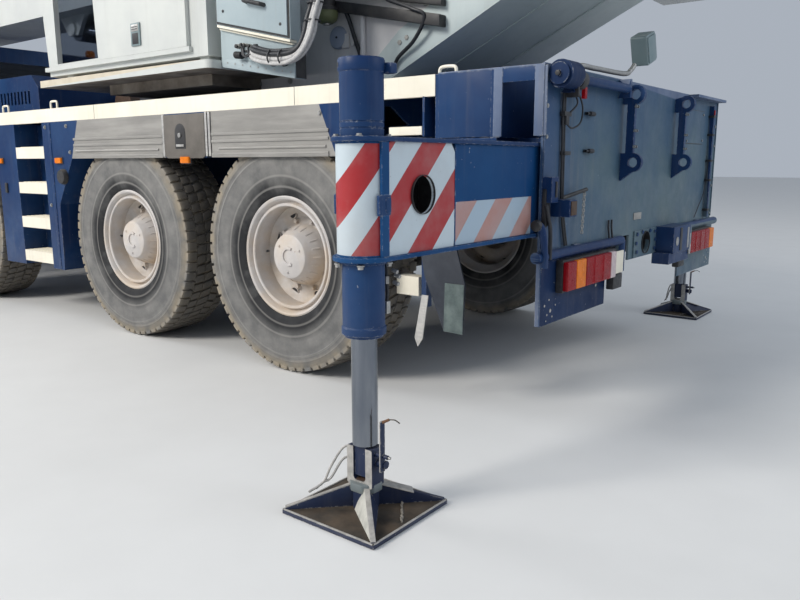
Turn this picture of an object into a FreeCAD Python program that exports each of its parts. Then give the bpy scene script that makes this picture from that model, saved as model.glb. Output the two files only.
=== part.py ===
"""Three-axle all-terrain crane with a telescopic boom, standing on its wheels with its
outriggers out. Millimetres. Inside each sub-part X is counted forward from the rear axle,
Y to the left of the centre line and Z up from the ground. The whole machine then moves by
rear_axle_x, so that the middle of its footprint is the origin."""
import FreeCAD, Part
import Sketcher
import math
import os
import re

V = FreeCAD.Vector
doc = FreeCAD.newDocument("crane")
sheet = doc.addObject("Spreadsheet::Sheet", "Sizes")

# alias, value: every length in millimetres, every angle in degrees
SIZES = [
    ("rear_axle_x", -3182.65),
    # wheels and axles
    ("axle_gap", 1585), ("front_axle_gap", 2600), ("tyre_r", 685), ("tyre_w", 370),
    ("bead_r", 345), ("sidewall_bulge", 12), ("wheel_face_y", 1265), ("rim_wall", 14),
    ("rim_well_r", 300), ("disc_depth", 150), ("disc_wall", 22), ("hub_cap_r", 128),
    ("hub_cap_len", 120), ("hand_hole_r", 24), ("hand_hole_circle", 205),
    ("spindle_r", 60), ("spindle_gap", 0.3), ("spindle_len", 100), ("axle_tube_r", 75),
    ("diff_r", 190), ("strut_r", 60), ("strut_y", 360), ("kingpin_y", 960),
    ("kingpin_r", 38), ("kingpin_half", 130), ("fork_plate", 40), ("fork_width", 150),
    # chassis frame and outrigger housings
    ("frame_half", 430), ("frame_plate", 20), ("frame_bottom", 950), ("frame_top", 1450),
    ("nose_bottom", 650), ("nose_top", 820), ("nose_end", 7290),
    ("body_half", 1300), ("beam_w", 180), ("beam_bottom", 900), ("beam_top", 1306),
    ("slot_gap", 5), ("slide_gap", 0.3), ("slot_wall", 30), ("slot_plate", 20),
    ("rear_jack_x", -1520), ("front_jack_x", 5150), ("slot_pitch", 240),
    # deck, skirts, steps
    ("deck_top", 1625), ("deck_plate", 20), ("deck_rear", -1080), ("deck_front", 4950),
    ("edge_depth", 98), ("edge_wall", 30), ("skirt_bottom", 1255), ("skirt_wall", 14),
    ("skirt_back", 20), ("skirt_shelf", 400), ("front_skirt_low", 1395),
    ("rib_w", 80), ("rib_plate", 12), ("step_width", 450), ("step_height", 88),
    ("step_pitch", 275), ("step_top", 1345), ("step_depth", 190), ("step_front", 3060),
    ("box_depth", 320), ("box_bottom", 400), ("front_box_len", 330),
    # rear panel with its lugs, boards and lamps
    ("panel_x", -1640), ("panel_wall", 12), ("panel_bottom", 830), ("panel_top", 1635),
    ("panel_low", 690), ("panel_low_half", 240), ("coupling_r", 60), ("coupling_z", 775),
    ("lug_y", 410), ("lug_wall", 26), ("lug_reach", 65), ("lug_ear_r", 48),
    ("lug_hole_r", 25), ("lug_top_z", 1560), ("lug_low_z", 1220),
    ("board_wall", 8), ("board_top", 800), ("board_bottom", 500), ("board_len", 715),
    ("board_mid_y", 942), ("board_x", -1655), ("lamp_h", 150), ("lamp_len", 620),
    ("lamp_mid_y", 845), ("lamp_d", 60), ("tube_r", 25),
    # outrigger beams, jacks and pads
    ("beam_len", 2465), ("beam_wall", 12), ("flange_out", 10), ("flange_wall", 16), ("rear_left_y", 2336),
    ("rear_right_y", 1900), ("front_y", 2336), ("jack_y_retracted", 1215), ("jack_room", 15),
    ("jack_r", 73), ("jack_bore_r", 56), ("jack_top", 1550), ("jack_bottom", 655),
    ("rod_r", 46), ("rod_gap", 0.3), ("rod_top", 960), ("rod_end", 250), ("rod_eye", 27), ("pad_side", 420),
    ("pad_plate", 16), ("pad_rise", 118), ("pad_socket_r", 62), ("web_wall", 20), ("clevis_wall", 30),
    ("beam_hole_y", 217), ("beam_hole_z", 1113), ("beam_hole_r", 66),
    # carrier cab
    ("cab_rear", 5580), ("cab_half", 1270), ("cab_bottom", 820), ("cab_top", 2480),
    ("cab_nose", 7400), ("cab_wall", 50), ("door_rear", 5900), ("door_front", 6900),
    ("door_bottom", 880), ("door_top", 2330), ("door_gap", 6), ("sill_z", 1640),
    ("glass_wall", 6), ("hinge_r", 13), ("hinge_len", 60), ("hinge_gap", 0.3),
    ("bumper_bottom", 450), ("bumper_front", 7450), ("bumper_rear", 7290),
    # engine and its hood
    ("hood_rear", 3950), ("hood_front", 4930), ("hood_half", 620), ("hood_top", 2040),
    ("hood_wall", 20), ("engine_len", 820), ("engine_w", 640), ("engine_h", 460),
    ("muffler_r", 140), ("muffler_len", 760), ("muffler_x", 3740), ("muffler_z", 1810),
    # superstructure
    ("slew_x", 1350), ("ring_r", 620), ("ring_bore", 480), ("platform_bottom", 1690),
    ("ring_gap", 0.3), ("platform_plate", 60), ("platform_half", 600), ("cheek", 60),
    ("tail_x", -1400), ("tail_z", 2262), ("tail_fold_x", -180), ("shelf_z", 2300),
    ("platform_front", 2350), ("pivot_x", -350), ("pivot_z", 2750), ("pivot_r", 70),
    ("pivot_ear_r", 200), ("weight_rear", -1750), ("weight_front", -1240),
    ("weight_half", 1240), ("weight_top", 3050), ("winch_r", 215), ("winch_x", -820),
    ("winch_z", 2330), ("winch_pin", 45),
    # operator cab and service cabinets
    ("opcab_rear", 690), ("opcab_front", 2640), ("opcab_in", 640), ("opcab_out", 1200),
    ("opcab_bottom", 1870), ("opcab_top", 3380), ("opcab_wall", 40), ("ledge_top", 1840),
    ("ledge_h", 50), ("opdoor_rear", 860), ("opdoor_len", 1030), ("opdoor_wall", 28),
    ("opdoor_bottom", 1935), ("opdoor_top", 3250), ("opdoor_travel", 690),
    ("opdoor_sill", 2520), ("rail_h", 30), ("cabinet_rear", -10), ("cabinet_top", 2700),
    ("cabinet_y", 1180), ("cabinet_low_front", 2045), ("cabinet_low_rear", 1898), ("cabinet_skin", 80),
    ("valve_gap", 22), ("valve_inset", 30), ("valve_low_front", 1800), ("valve_low_rear", 1690),
    # boom and luffing cylinder
    ("boom_bottom", 2640), ("boom_h", 760), ("boom_w", 620), ("boom_wall", 14),
    ("boom_rear", 200), ("boom_front", 7050), ("foot_r", 150), ("section_gap", 26),
    ("collar_len", 160), ("collar_out", 14), ("section_overlap", 6100), ("head_step", 180),
    ("tele_travel", 5000), ("tip_len", 520), ("sheave_r", 210), ("sheave_w", 45),
    ("lift_foot_x", 900), ("lift_foot_z", 1885), ("lift_eye_x", 4100), ("lift_eye_z", 2520),
    ("barrel_r", 145), ("barrel_bore", 118), ("lift_rod_r", 100), ("eye_half", 95),
    ("ear_wall", 40), ("ear_gap", 7), ("eye_r", 120), ("eye_bore", 50),
    ("barrel_len", 2850), ("barrel_neck", 260),
    ("head_drop", 180), ("hook_drop", 700), ("hook_sheave_r", 180), ("rope_r", 9), ("fall_y", 90),
]
D = type("Values", (), {})()
for row, (alias, value) in enumerate(SIZES, start=1):
    sheet.set("A%d" % row, alias)
    sheet.set("B%d" % row, str(value))
    sheet.setAlias("B%d" % row, alias)
    setattr(D, alias, value)
doc.recompute()
NAMES = {alias for alias, _ in SIZES}


def bind(text):
    """An expression on the sheet, written with bare size names."""
    return re.sub(r"[a-z][a-z_0-9]*", lambda m: "Sizes." + m[0] if m[0] in NAMES else m[0], str(text))


def box(x, y, z, length, width, height):
    """A block from its lowest corner and its three sizes."""
    block = doc.addObject("Part::Box", "block")
    for name, text in zip(("Length", "Width", "Height"), (length, width, height)):
        block.setExpression(name, bind(text))
    for name, text in zip("xyz", (x, y, z)):
        block.setExpression("Placement.Base." + name, bind(text))
    return block


TURN = {"z": FreeCAD.Rotation(), "x": FreeCAD.Rotation(V(0, 1, 0), 90),
        "y": FreeCAD.Rotation(V(1, 0, 0), -90)}


def rod(x, y, z, radius, length, axis="z"):
    """A round bar from the centre of its low end, along one of the three axes."""
    bar = doc.addObject("Part::Cylinder", "bar")
    bar.Placement = FreeCAD.Placement(V(), TURN[axis])
    bar.setExpression("Radius", bind(radius))
    bar.setExpression("Height", bind(length))
    for name, text in zip("xyz", (x, y, z)):
        bar.setExpression("Placement.Base." + name, bind(text))
    return bar


def origin_plane(body, role):
    return [item for item in body.Origin.OriginFeatures if item.Role == role][0]


def sketch_on(body, role, lift, loops):
    """A sketch of closed outlines. A loop is a list of corners, or (u, v, radius) for a
    circle. Each corner is held to the origin by two bound distances."""
    sketch = body.newObject("Sketcher::SketchObject", "Sketch")
    sketch.AttachmentSupport = [(origin_plane(body, role), "")]
    sketch.MapMode = "FlatFace"
    sketch.setExpression("AttachmentOffset.Base.z", bind(lift))
    for loop in loops:
        if isinstance(loop, tuple):
            circle = sketch.addGeometry(Part.Circle(V(100, 100, 0), V(0, 0, 1), 10), False)
            hold(sketch, circle, 3, loop[0], loop[1])
            index = sketch.addConstraint(Sketcher.Constraint("Radius", circle, 10))
            sketch.setExpression("Constraints[%d]" % index, bind(loop[2]))
            continue
        count = len(loop)
        spots = [V(100 * math.cos(2 * math.pi * i / count), 100 * math.sin(2 * math.pi * i / count), 0)
                 for i in range(count)]
        lines = [sketch.addGeometry(Part.LineSegment(spots[i], spots[(i + 1) % count]), False)
                 for i in range(count)]
        for i in range(count):
            sketch.addConstraint(Sketcher.Constraint("Coincident", lines[i], 2, lines[(i + 1) % count], 1))
        for line, (u, v) in zip(lines, loop):
            hold(sketch, line, 1, u, v)
    return sketch


def hold(sketch, geometry, point, u, v):
    """Fix one point of a sketch by its two coordinates."""
    for kind, text in (("DistanceX", u), ("DistanceY", v)):
        index = sketch.addConstraint(Sketcher.Constraint(kind, -1, 1, geometry, point, 10.0))
        sketch.setExpression("Constraints[%d]" % index, bind(text))


NORMAL = {"XY_Plane": V(0, 0, 1), "XZ_Plane": V(0, -1, 0), "YZ_Plane": V(1, 0, 0)}


def prism(role, loops, lift, depth, rounds=()):
    """A body padded from an outline that stands lift above an origin plane. Rounds are
    (u, v, radius) names of corners to round along the pad's own direction."""
    body = doc.addObject("PartDesign::Body", "Body")
    pad = body.newObject("PartDesign::Pad", "Pad")
    pad.Profile = sketch_on(body, role, lift, loops)
    pad.setExpression("Length", bind(depth))
    if rounds:
        doc.recompute()
        for u, v, radius in rounds:
            tip = body.Tip
            edges = [name for name, edge in named_edges(tip.Shape)
                     if along(edge, NORMAL[role]) and near(flat(role, edge), u, v)]
            fillet = body.newObject("PartDesign::Fillet", "Fillet")
            fillet.Base = (tip, edges)
            fillet.setExpression("Radius", bind(radius))
            body.Tip = fillet
            doc.recompute()
    return body


def named_edges(shape):
    return [("Edge%d" % (i + 1), edge) for i, edge in enumerate(shape.Edges)]


def along(edge, direction):
    if len(edge.Vertexes) != 2:
        return False
    step = edge.Vertexes[1].Point - edge.Vertexes[0].Point
    return step.cross(direction).Length < 1e-6 * max(step.Length, 1)


def flat(role, edge):
    point = edge.Vertexes[0].Point
    return {"XY_Plane": (point.x, point.y), "XZ_Plane": (point.x, point.z),
            "YZ_Plane": (point.y, point.z)}[role]


def near(spot, u, v):
    return abs(spot[0] - u) < 1 and abs(spot[1] - v) < 1


def side_prism(points, y_low, depth, rounds=()):
    """An outline in X and Z, padded along Y from y_low."""
    return prism("XZ_Plane", [points], "-(%s) - (%s)" % (y_low, depth), depth, rounds)


def turned(points, angle=360):
    """A body turned about the Y axis from corners (radius, y)."""
    body = doc.addObject("PartDesign::Body", "Body")
    sketch = sketch_on(body, "YZ_Plane", 0, [[(y, r) for r, y in points]])
    turn = body.newObject("PartDesign::Revolution", "Revolution")
    turn.Profile = sketch
    turn.ReferenceAxis = (sketch, ["H_Axis"])
    turn.Angle = angle
    return body


def fuse(*shapes):
    if len(shapes) == 1:
        return shapes[0]
    joined = doc.addObject("Part::MultiFuse", "Joined")
    joined.Shapes = list(shapes)
    return joined


def cut(base, *tools):
    rest = doc.addObject("Part::Cut", "Cut")
    rest.Base = base
    rest.Tool = fuse(*tools)
    return rest


def common(*shapes):
    shared = doc.addObject("Part::MultiCommon", "Shared")
    shared.Shapes = list(shapes)
    return shared


def both_sides(make):
    """The same pieces on the left, side 1, and on the right, side -1."""
    return [piece for side in (1, -1) for piece in make(side)]


def low_y(side, y_low, depth):
    """The low Y of a piece that spans y_low to y_low + depth on the left, for either side."""
    return y_low if side == 1 else "-(%s) - (%s)" % (y_low, depth)


PARTS = {}


def sub_part(label, shape, x="0", y="0", z="0"):
    """Names a finished sub-part and stands it on the machine."""
    holder = doc.addObject("Part::Compound", label)
    holder.Links = [shape]
    holder.Label = label
    for name, text in zip("xyz", ("rear_axle_x + " + x, y, z)):
        holder.setExpression("Placement.Base." + name, bind(text))
    PARTS[label] = holder


# Chassis frame with its two outrigger housings

SLOTS = {"rear_left": ("rear_jack_x", 1), "rear_right": ("rear_jack_x + slot_pitch", -1),
         "front_left": ("front_jack_x", 1), "front_right": ("front_jack_x + slot_pitch", -1)}


SLOT_HALF = "(beam_w / 2 + flange_out + slot_gap)"


def housing(first_x, rear_wall):
    """Plates and walls round the two slots of a pair of beams. Each slot's plates end short
    of the side where its own jack cylinder comes in."""
    start = "%s - %s - slot_wall * %d" % (first_x, SLOT_HALF, rear_wall)
    length = "slot_pitch + 2 * %s + slot_wall * (1 + %d)" % (SLOT_HALF, rear_wall)
    plates = [box(start, "-body_half", z, length, "2 * body_half", "slot_plate")
              for z in ("beam_bottom - slot_gap - slot_plate", "beam_top + slot_gap")]
    notch = "jack_y_retracted - jack_r - jack_room"
    notches = [box("%s - %s + slot_pitch * %d" % (first_x, SLOT_HALF, slot), low_y(side, notch, "300"),
                   "beam_bottom - 100", "2 * " + SLOT_HALF, "300", "beam_top - beam_bottom + 200")
               for slot, side in ((0, 1), (1, -1))]
    pieces = [cut(fuse(*plates), *notches)]
    for wall in range(1 - rear_wall, 3):
        pieces.append(box("%s - %s - slot_wall + slot_pitch * %d" % (first_x, SLOT_HALF, wall), "-body_half",
                          "beam_bottom - slot_gap", "slot_wall", "2 * body_half",
                          "beam_top - beam_bottom + 2 * slot_gap"))
    for slot, side in ((0, 1), (1, -1)):
        for inward in (100, 650):
            pieces.append(box("%s - beam_w / 2 + slot_pitch * %d" % (first_x, slot),
                              low_y(side, "%s - %d" % (notch, inward), "90"), "beam_bottom - slot_gap",
                              "beam_w", "90", "slot_gap - slide_gap"))
    return pieces


def chassis_frame():
    web_start = "rear_jack_x + slot_pitch + " + SLOT_HALF
    web_end = "front_jack_x - %s - slot_wall" % SLOT_HALF
    pieces = housing("rear_jack_x", 0) + housing("front_jack_x", 1)
    for y in ("-frame_half", "frame_half - frame_plate"):
        pieces.append(box(web_start, y, "frame_bottom", "%s - (%s)" % (web_end, web_start),
                          "frame_plate", "frame_top - frame_bottom"))
        pieces.append(box(web_end, y, "beam_top + slot_gap", "cab_rear - (%s)" % web_end,
                          "frame_plate", "frame_top - beam_top - slot_gap"))
        pieces.append(box("front_jack_x + slot_pitch", y, "nose_bottom",
                          "nose_end - front_jack_x - slot_pitch", "frame_plate", "nose_top - nose_bottom"))
    for z in ("frame_bottom", "frame_top - frame_plate"):
        pieces.append(box(web_start, "-frame_half", z, "%s - (%s)" % (web_end, web_start),
                          "2 * frame_half", "frame_plate"))
    for z in ("nose_bottom", "nose_top - frame_plate"):
        pieces.append(box("front_jack_x + slot_pitch", "-frame_half", z,
                          "nose_end - front_jack_x - slot_pitch", "2 * frame_half", "frame_plate"))
    # cross ribs under the deck, places along X from the rear axle
    for place in (-1000, -500, 100, 600, 2100, 2600, 3100, 3600, 4800):
        pieces += both_sides(lambda side: [
            prism("YZ_Plane", [[("%d * frame_half" % side, "frame_top - 200"),
                                ("%d * frame_half" % side, "deck_top - deck_plate"),
                                ("%d * (body_half - edge_wall - skirt_back)" % side, "deck_top - deck_plate"),
                                ("%d * (body_half - edge_wall - skirt_back)" % side, "deck_top - edge_depth"),
                                ("%d * (body_half - skirt_shelf - 10)" % side, "deck_top - edge_depth")]],
                  str(place), "rib_plate")])
        pieces.append(box(str(place), "-frame_half", "frame_top", "rib_plate", "2 * frame_half",
                          "deck_top - deck_plate - frame_top"))
    ring_seat = rod("slew_x", "0", "frame_top - frame_plate", "ring_r + 30", "90")
    return fuse(*pieces, ring_seat)


sub_part("chassis_frame", chassis_frame())


# Deck plate, and its pale edge strips with the four steps on each side

def deck():
    plate = prism("XY_Plane", [[("deck_rear", "-body_half + edge_wall"), ("deck_front", "-body_half + edge_wall"),
                                ("deck_front", "body_half - edge_wall"), ("deck_rear", "body_half - edge_wall")],
                               ("slew_x", "0", "ring_r + 60")], "deck_top - deck_plate", "deck_plate")
    bay = [plate]
    floor = "beam_top + slot_gap + slot_plate"
    for x, thick in (("panel_x + panel_wall", "12"), ("rear_jack_x + beam_w / 2", "50"), ("deck_rear - 20", "20")):
        bay.append(box(x, "-body_half + 4", floor, thick, "2 * body_half - 8", "deck_top - (%s)" % floor))
    bay.append(box("panel_x + panel_wall", "-body_half + 4", "deck_top - 16", "deck_rear - panel_x - panel_wall",
                   "110", "16"))
    bay.append(box("panel_x + panel_wall", "body_half - 114", "deck_top - 16",
                   "deck_rear - panel_x - panel_wall", "110", "16"))
    frame_end = box("deck_rear - 40", "-frame_half", floor, "60", "2 * frame_half", "frame_top - (%s)" % floor)
    return cut(fuse(*bay), frame_end)


sub_part("deck", deck())


def edges_and_steps():
    def one_side(side):
        pieces = [box("deck_rear", low_y(side, "body_half - edge_wall", "edge_wall"), "deck_top - edge_depth",
                      "deck_front - deck_rear", "edge_wall", "edge_depth")]
        for rung in range(4):
            pieces.append(box("step_front - step_width", low_y(side, "body_half - step_depth", "step_depth"),
                              "step_top - step_height - step_pitch * %d" % rung, "step_width",
                              "step_depth", "step_height"))
        return pieces
    return fuse(*both_sides(one_side))


sub_part("deck_edges_and_steps", edges_and_steps())


# Skirts over the two rear axles, each with two ribs along its lower edge

def fenders():
    # front and rear end at the top, then at the bottom, along X from the rear axle
    skirts = ((2090, 1040, 2200, 1040), (570, -330, 570, -450))

    def one_side(side):
        pieces = []
        for top_front, top_rear, low_front, low_rear in skirts:
            top = "deck_top - edge_depth"
            pieces.append(side_prism([(str(top_rear), top), (str(low_rear), "skirt_bottom"),
                                      (str(low_front), "skirt_bottom"), (str(top_front), top)],
                                     low_y(side, "body_half - skirt_wall", "skirt_wall"), "skirt_wall"))
            for lift in (18, 52):
                pieces.append(rod(str(low_rear + 70), "%d * body_half" % side, "skirt_bottom + %d" % lift,
                                  "8", str(low_front - low_rear - 140), "x"))
            pieces.append(box(str(top_rear), low_y(side, "body_half - skirt_shelf", "skirt_shelf - skirt_wall"),
                              "deck_top - edge_depth - skirt_wall", str(top_front - top_rear),
                              "skirt_shelf - skirt_wall", "skirt_wall"))
            pieces.append(box(str(top_rear), low_y(side, "body_half - edge_wall - skirt_back", "skirt_back"),
                              "deck_top - edge_depth", str(top_front - top_rear), "skirt_back",
                              "edge_depth - deck_plate"))
        # short ones over the steered wheels, which swing out below them
        pieces.append(box("3425", low_y(side, "body_half - skirt_wall", "skirt_wall"), "front_skirt_low", "1440",
                          "skirt_wall", "deck_top - edge_depth - front_skirt_low"))
        pieces.append(box("3425", low_y(side, "body_half - skirt_shelf", "skirt_shelf - skirt_wall"),
                          "deck_top - edge_depth - skirt_wall", "1440", "skirt_shelf - skirt_wall", "skirt_wall"))
        return pieces
    return fuse(*both_sides(one_side))


sub_part("fenders", fenders())


def side_boxes():
    top = "deck_top - edge_depth"
    floor = "box_bottom"

    def one_side(side):
        y = low_y(side, "body_half - box_depth", "box_depth")
        tool_box = box("620", y, "skirt_bottom", "420", "box_depth", "%s - skirt_bottom" % top)
        panel = side_prism([("2090", top), ("2200", "skirt_bottom"), ("2430", "910"), ("2440", floor),
                            ("step_front - step_width", floor), ("step_front - step_width", top)],
                           y, "box_depth")
        back = box("step_front - step_width", low_y(side, "body_half - box_depth", "box_depth - step_depth"),
                   floor, "step_width", "box_depth - step_depth", "%s - box_bottom" % top)
        front = box("step_front", y, floor, "front_box_len", "box_depth", "%s - box_bottom" % top)
        gusset = side_prism([("-330", top), ("-450", "skirt_bottom"), ("-560", "skirt_bottom"), ("-700", top)],
                            low_y(side, "body_half - skirt_wall", "skirt_wall"), "skirt_wall")
        return [tool_box, panel, back, front, gusset]
    return fuse(*both_sides(one_side))


sub_part("side_boxes", side_boxes())


# Rear panel with its coupling hole, two pairs of lugs and the boards that carry the lamps

def panel_fittings():
    """Roller with its bar, socket boxes, hatch, folded plate, coupling plate and towing gear."""
    # out from the panel, low Y, low Z, width, height
    blocks = ((62, 1120, 1520, 20, 120), (62, 470, 1540, 20, 90), (46, 1222, 1050, 66, 110),
              (92, 1128, 985, 72, 75), (4, -985, 1340, 470, 205), (30, -1132, 850, 24, 740),
              (100, -515, 630, 370, 65))
    pieces = [box("panel_x - %d" % out, str(y), str(z), str(out), str(wide), str(tall))
              for out, y, z, wide, tall in blocks]
    pieces.append(box("panel_x - 56", "-body_half + 12", "panel_top - 16", "60", "628", "16"))
    pieces.append(rod("panel_x - 54", "1138", "1590", "58", "122", "y"))
    pieces.append(rod("panel_x - 44", "480", "1584", "22", "650", "y"))
    pieces.append(prism("YZ_Plane", [[("-500", "846"), ("-525", "820"), ("-525", "730"), ("-490", "690"),
                                      ("-185", "690"), ("-185", "846")]], "panel_x - 110", "110"))
    plate = box("panel_x - 8", "-175", "panel_low + 4", "8", "350", "150")
    pieces.append(cut(plate, rod("panel_x - 10", "0", "coupling_z", "coupling_r", "12", "x")))
    for y, z in ((150, 0), (-150, 0), (140, 50), (-140, 50), (140, -50), (-140, -50), (60, 58), (-60, 58)):
        pieces.append(rod("panel_x - 16", str(y), "coupling_z %+d" % z, "11", "10", "x"))
    return pieces


def rear_panel():
    outline = [("-body_half + 10", "panel_bottom"), ("-panel_low_half", "panel_bottom"),
               ("-panel_low_half", "panel_low"), ("panel_low_half", "panel_low"),
               ("panel_low_half", "panel_bottom"), ("body_half - 10", "panel_bottom"),
               ("body_half - 10", "panel_top"), ("-body_half + 10", "panel_top")]
    panel = prism("YZ_Plane", [outline, ("0", "coupling_z", "coupling_r")], "panel_x", "panel_wall")
    pieces = [panel]
    for side in (1, -1):
        y = "%d * lug_y - lug_wall / 2" % side
        bracket = side_prism([("panel_x", "lug_low_z - 95"), ("panel_x", "lug_top_z + 30"),
                              ("panel_x - lug_reach", "lug_top_z + lug_ear_r"),
                              ("panel_x - lug_reach", "lug_low_z - lug_ear_r")], y, "lug_wall")
        slot = box("panel_x - lug_reach + 40", y + " - 1", "lug_low_z + lug_ear_r", "lug_reach - 40",
                   "lug_wall + 2", "lug_top_z - lug_low_z - 2 * lug_ear_r")
        ears = [rod("panel_x - lug_reach", y, z, "lug_ear_r", "lug_wall", "y") for z in ("lug_top_z", "lug_low_z")]
        holes = [rod("panel_x - lug_reach", y + " - 1", z, "lug_hole_r", "lug_wall + 2", "y")
                 for z in ("lug_top_z", "lug_low_z")]
        pieces.append(cut(fuse(bracket, *ears), slot, *holes))
        board_y = "%d * board_mid_y - board_len / 2" % side
        pieces.append(box("board_x", board_y, "board_bottom", "board_wall", "board_len",
                          "board_top - board_bottom"))
        pieces.append(box("board_x", board_y, "board_top - 8", "panel_x + panel_wall - board_x", "board_len", "8"))
        tube_start = "board_mid_y - board_len / 2 - %d" % (200 if side == 1 else 0)
        tube_len = "board_mid_y + board_len / 2 + 50 - (%s)" % tube_start
        pieces.append(rod("board_x + 4", low_y(side, tube_start, tube_len), "board_top + tube_r - 12", "tube_r",
                          tube_len, "y"))
        if side == 1:
            pieces.append(rod("board_x + 4", tube_start, "board_top - 150", "tube_r", "150 + tube_r - 12"))
        pieces.append(box("board_x", "%d * board_mid_y - 30" % side, "board_top - 8", "panel_x - board_x + 4", "60",
                          "panel_bottom + 20 - board_top"))
    return fuse(*pieces, *panel_fittings())


sub_part("rear_panel", rear_panel())


def lamps():
    def one_side(side):
        y = "%d * lamp_mid_y - lamp_len / 2" % side
        rear = box("board_x - lamp_d", y, "board_top - 13 - lamp_h", "lamp_d", "lamp_len", "lamp_h")
        head = rod("bumper_front", "%d * 900" % side, "bumper_bottom + 190", "85", "26", "x")
        turn = box("bumper_front", "%d * 1110 - 70" % side, "bumper_bottom + 130", "20", "140", "110")
        marks = [box(str(x), low_y(side, "body_half", "12"), z, "60", "12", "34")
                 for x, z in ((790, "skirt_bottom + 10"), (2350, "skirt_bottom - 20"), (3300, "skirt_bottom - 20"))]
        beacon = [rod("cab_rear + 220", "%d * (cab_half - 260)" % side, "cab_top", radius, height)
                  for radius, height in (("70", "26"), ("55", "105"))]
        return [rear, head, turn] + marks + beacon
    return fuse(*both_sides(one_side))


sub_part("lamps", lamps())


# Carrier cab: a hollow shell, its two doors, its panes and what stands inside

CAB_SIDE = [("cab_rear", "cab_bottom"), ("cab_nose - 60", "cab_bottom"), ("cab_nose", "cab_bottom + 520"),
            ("cab_nose - 190", "cab_top - 60"), ("cab_nose - 300", "cab_top"), ("cab_rear", "cab_top")]
CAB_INSIDE = [("cab_rear + cab_wall", "cab_bottom + cab_wall"),
              ("cab_nose - 60 - cab_wall", "cab_bottom + cab_wall"),
              ("cab_nose - cab_wall", "cab_bottom + 520"),
              ("cab_nose - 190 - cab_wall", "cab_top - 60 - cab_wall"),
              ("cab_nose - 300 - cab_wall", "cab_top - cab_wall"),
              ("cab_rear + cab_wall", "cab_top - cab_wall")]
HINGES_Z = ("door_bottom + 250", "sill_z - 40")


def on_slope(low, high, z):
    """The X of a sloping front at height z, between its low and high corners."""
    return "(%s) + ((%s) - (%s)) * (%s - (%s)) / (%s - (%s))" % (
        low[0], high[0], low[0], z, low[1], high[1], low[1])


def carrier_cab():
    shell = cut(side_prism(CAB_SIDE, "-cab_half", "2 * cab_half"),
                side_prism(CAB_INSIDE, "-cab_half + cab_wall", "2 * (cab_half - cab_wall)"),
                box("door_rear", "-cab_half - 1", "door_bottom", "door_front - door_rear",
                    "2 * cab_half + 2", "door_top - door_bottom"),
                box("cab_nose - 330", "-cab_half + 110", "sill_z - 60", "400", "2 * cab_half - 220",
                    "cab_top - 100 - sill_z"),
                box("cab_rear - 1", "-cab_half + 300", "sill_z + 60", "cab_wall + 2", "2 * cab_half - 600",
                    "cab_top - 220 - sill_z"))
    low, high = CAB_SIDE[1], CAB_SIDE[2]
    feet = [(on_slope(low, high, z), z) for z in ("cab_bottom + 60", "cab_bottom + 430")]
    grille = side_prism([(feet[0][0] + " - 4", feet[0][1]), (feet[0][0] + " + 16", feet[0][1]),
                         (feet[1][0] + " + 16", feet[1][1]), (feet[1][0] + " - 4", feet[1][1])], "-620", "1240")
    slots = [box("cab_nose - 64", "%d" % y, "cab_bottom + %d" % z, "100", "380", "26")
             for z in range(90, 400, 50) for y in (-590, -190, 210)]
    slot_depth = side_prism([(feet[0][0] + " + 3", feet[0][1]), (feet[0][0] + " + 40", feet[0][1]),
                             (feet[1][0] + " + 40", feet[1][1]), (feet[1][0] + " + 3", feet[1][1])], "-620", "1240")
    return fuse(shell, cut(grille, common(fuse(*slots), slot_depth)), *both_sides(cab_fittings))


def cab_fittings(side):
    """Door hinges, a mirror on two stays, and a wiper with its arm."""
    y = "cab_half + 60"
    stays = [rod("cab_nose - 290", low_y(side, "cab_half - 20", "150"), z, "12", "150", "y") for z in ("2140", "1740")]
    upright = rod("cab_nose - 290", "%d * (cab_half + 130)" % side, "1700", "12", "480")
    mirror = box("cab_nose - 310", low_y(side, y, "190"), "1760", "40", "190", "360")
    return hinge(side, 0) + stays + [upright, mirror]


def hinge(side, on_door):
    """Knuckles on the hinge pin line: the cab's in the middle, the door's above and below."""
    pieces = []
    centre = "%d * (cab_half + hinge_r)" % side
    for z in HINGES_Z:
        if on_door:
            for start in ("%s + hinge_len + hinge_gap" % z, "%s - hinge_len / 2 - hinge_gap" % z):
                pieces.append(rod("door_front", centre, start, "hinge_r", "hinge_len / 2"))
                pieces.append(box("door_front - 60", low_y(side, "cab_half - 4", "4 + hinge_r"), start,
                                  "60", "4 + hinge_r", "hinge_len / 2"))
        else:
            pieces.append(rod("door_front", centre, z, "hinge_r", "hinge_len"))
            pieces.append(box("door_front", low_y(side, "cab_half - 4", "4 + hinge_r"), z, "50",
                              "4 + hinge_r", "hinge_len"))
    return pieces


def carrier_door(side):
    """A door as thick as the wall, its window cut, with the pane that fills it."""
    y = low_y(side, "cab_half - cab_wall", "cab_wall")
    leaf = box("door_rear + door_gap", y, "door_bottom + door_gap", "door_front - door_rear - 2 * door_gap",
               "cab_wall", "door_top - door_bottom - 2 * door_gap")
    window = box("door_rear + 70", low_y(side, "cab_half - cab_wall - 1", "cab_wall + 2"), "sill_z",
                 "door_front - door_rear - 140", "cab_wall + 2", "door_top - 70 - sill_z")
    pane = box("door_rear + 70", low_y(side, "cab_half - 26", "glass_wall"), "sill_z",
               "door_front - door_rear - 140", "glass_wall", "door_top - 70 - sill_z")
    return fuse(cut(leaf, window), pane, *hinge(side, 1))


sub_part("carrier_cab", carrier_cab())
for side_name, side in (("left", 1), ("right", -1)):
    sub_part("carrier_door_" + side_name, carrier_door(side))


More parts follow.
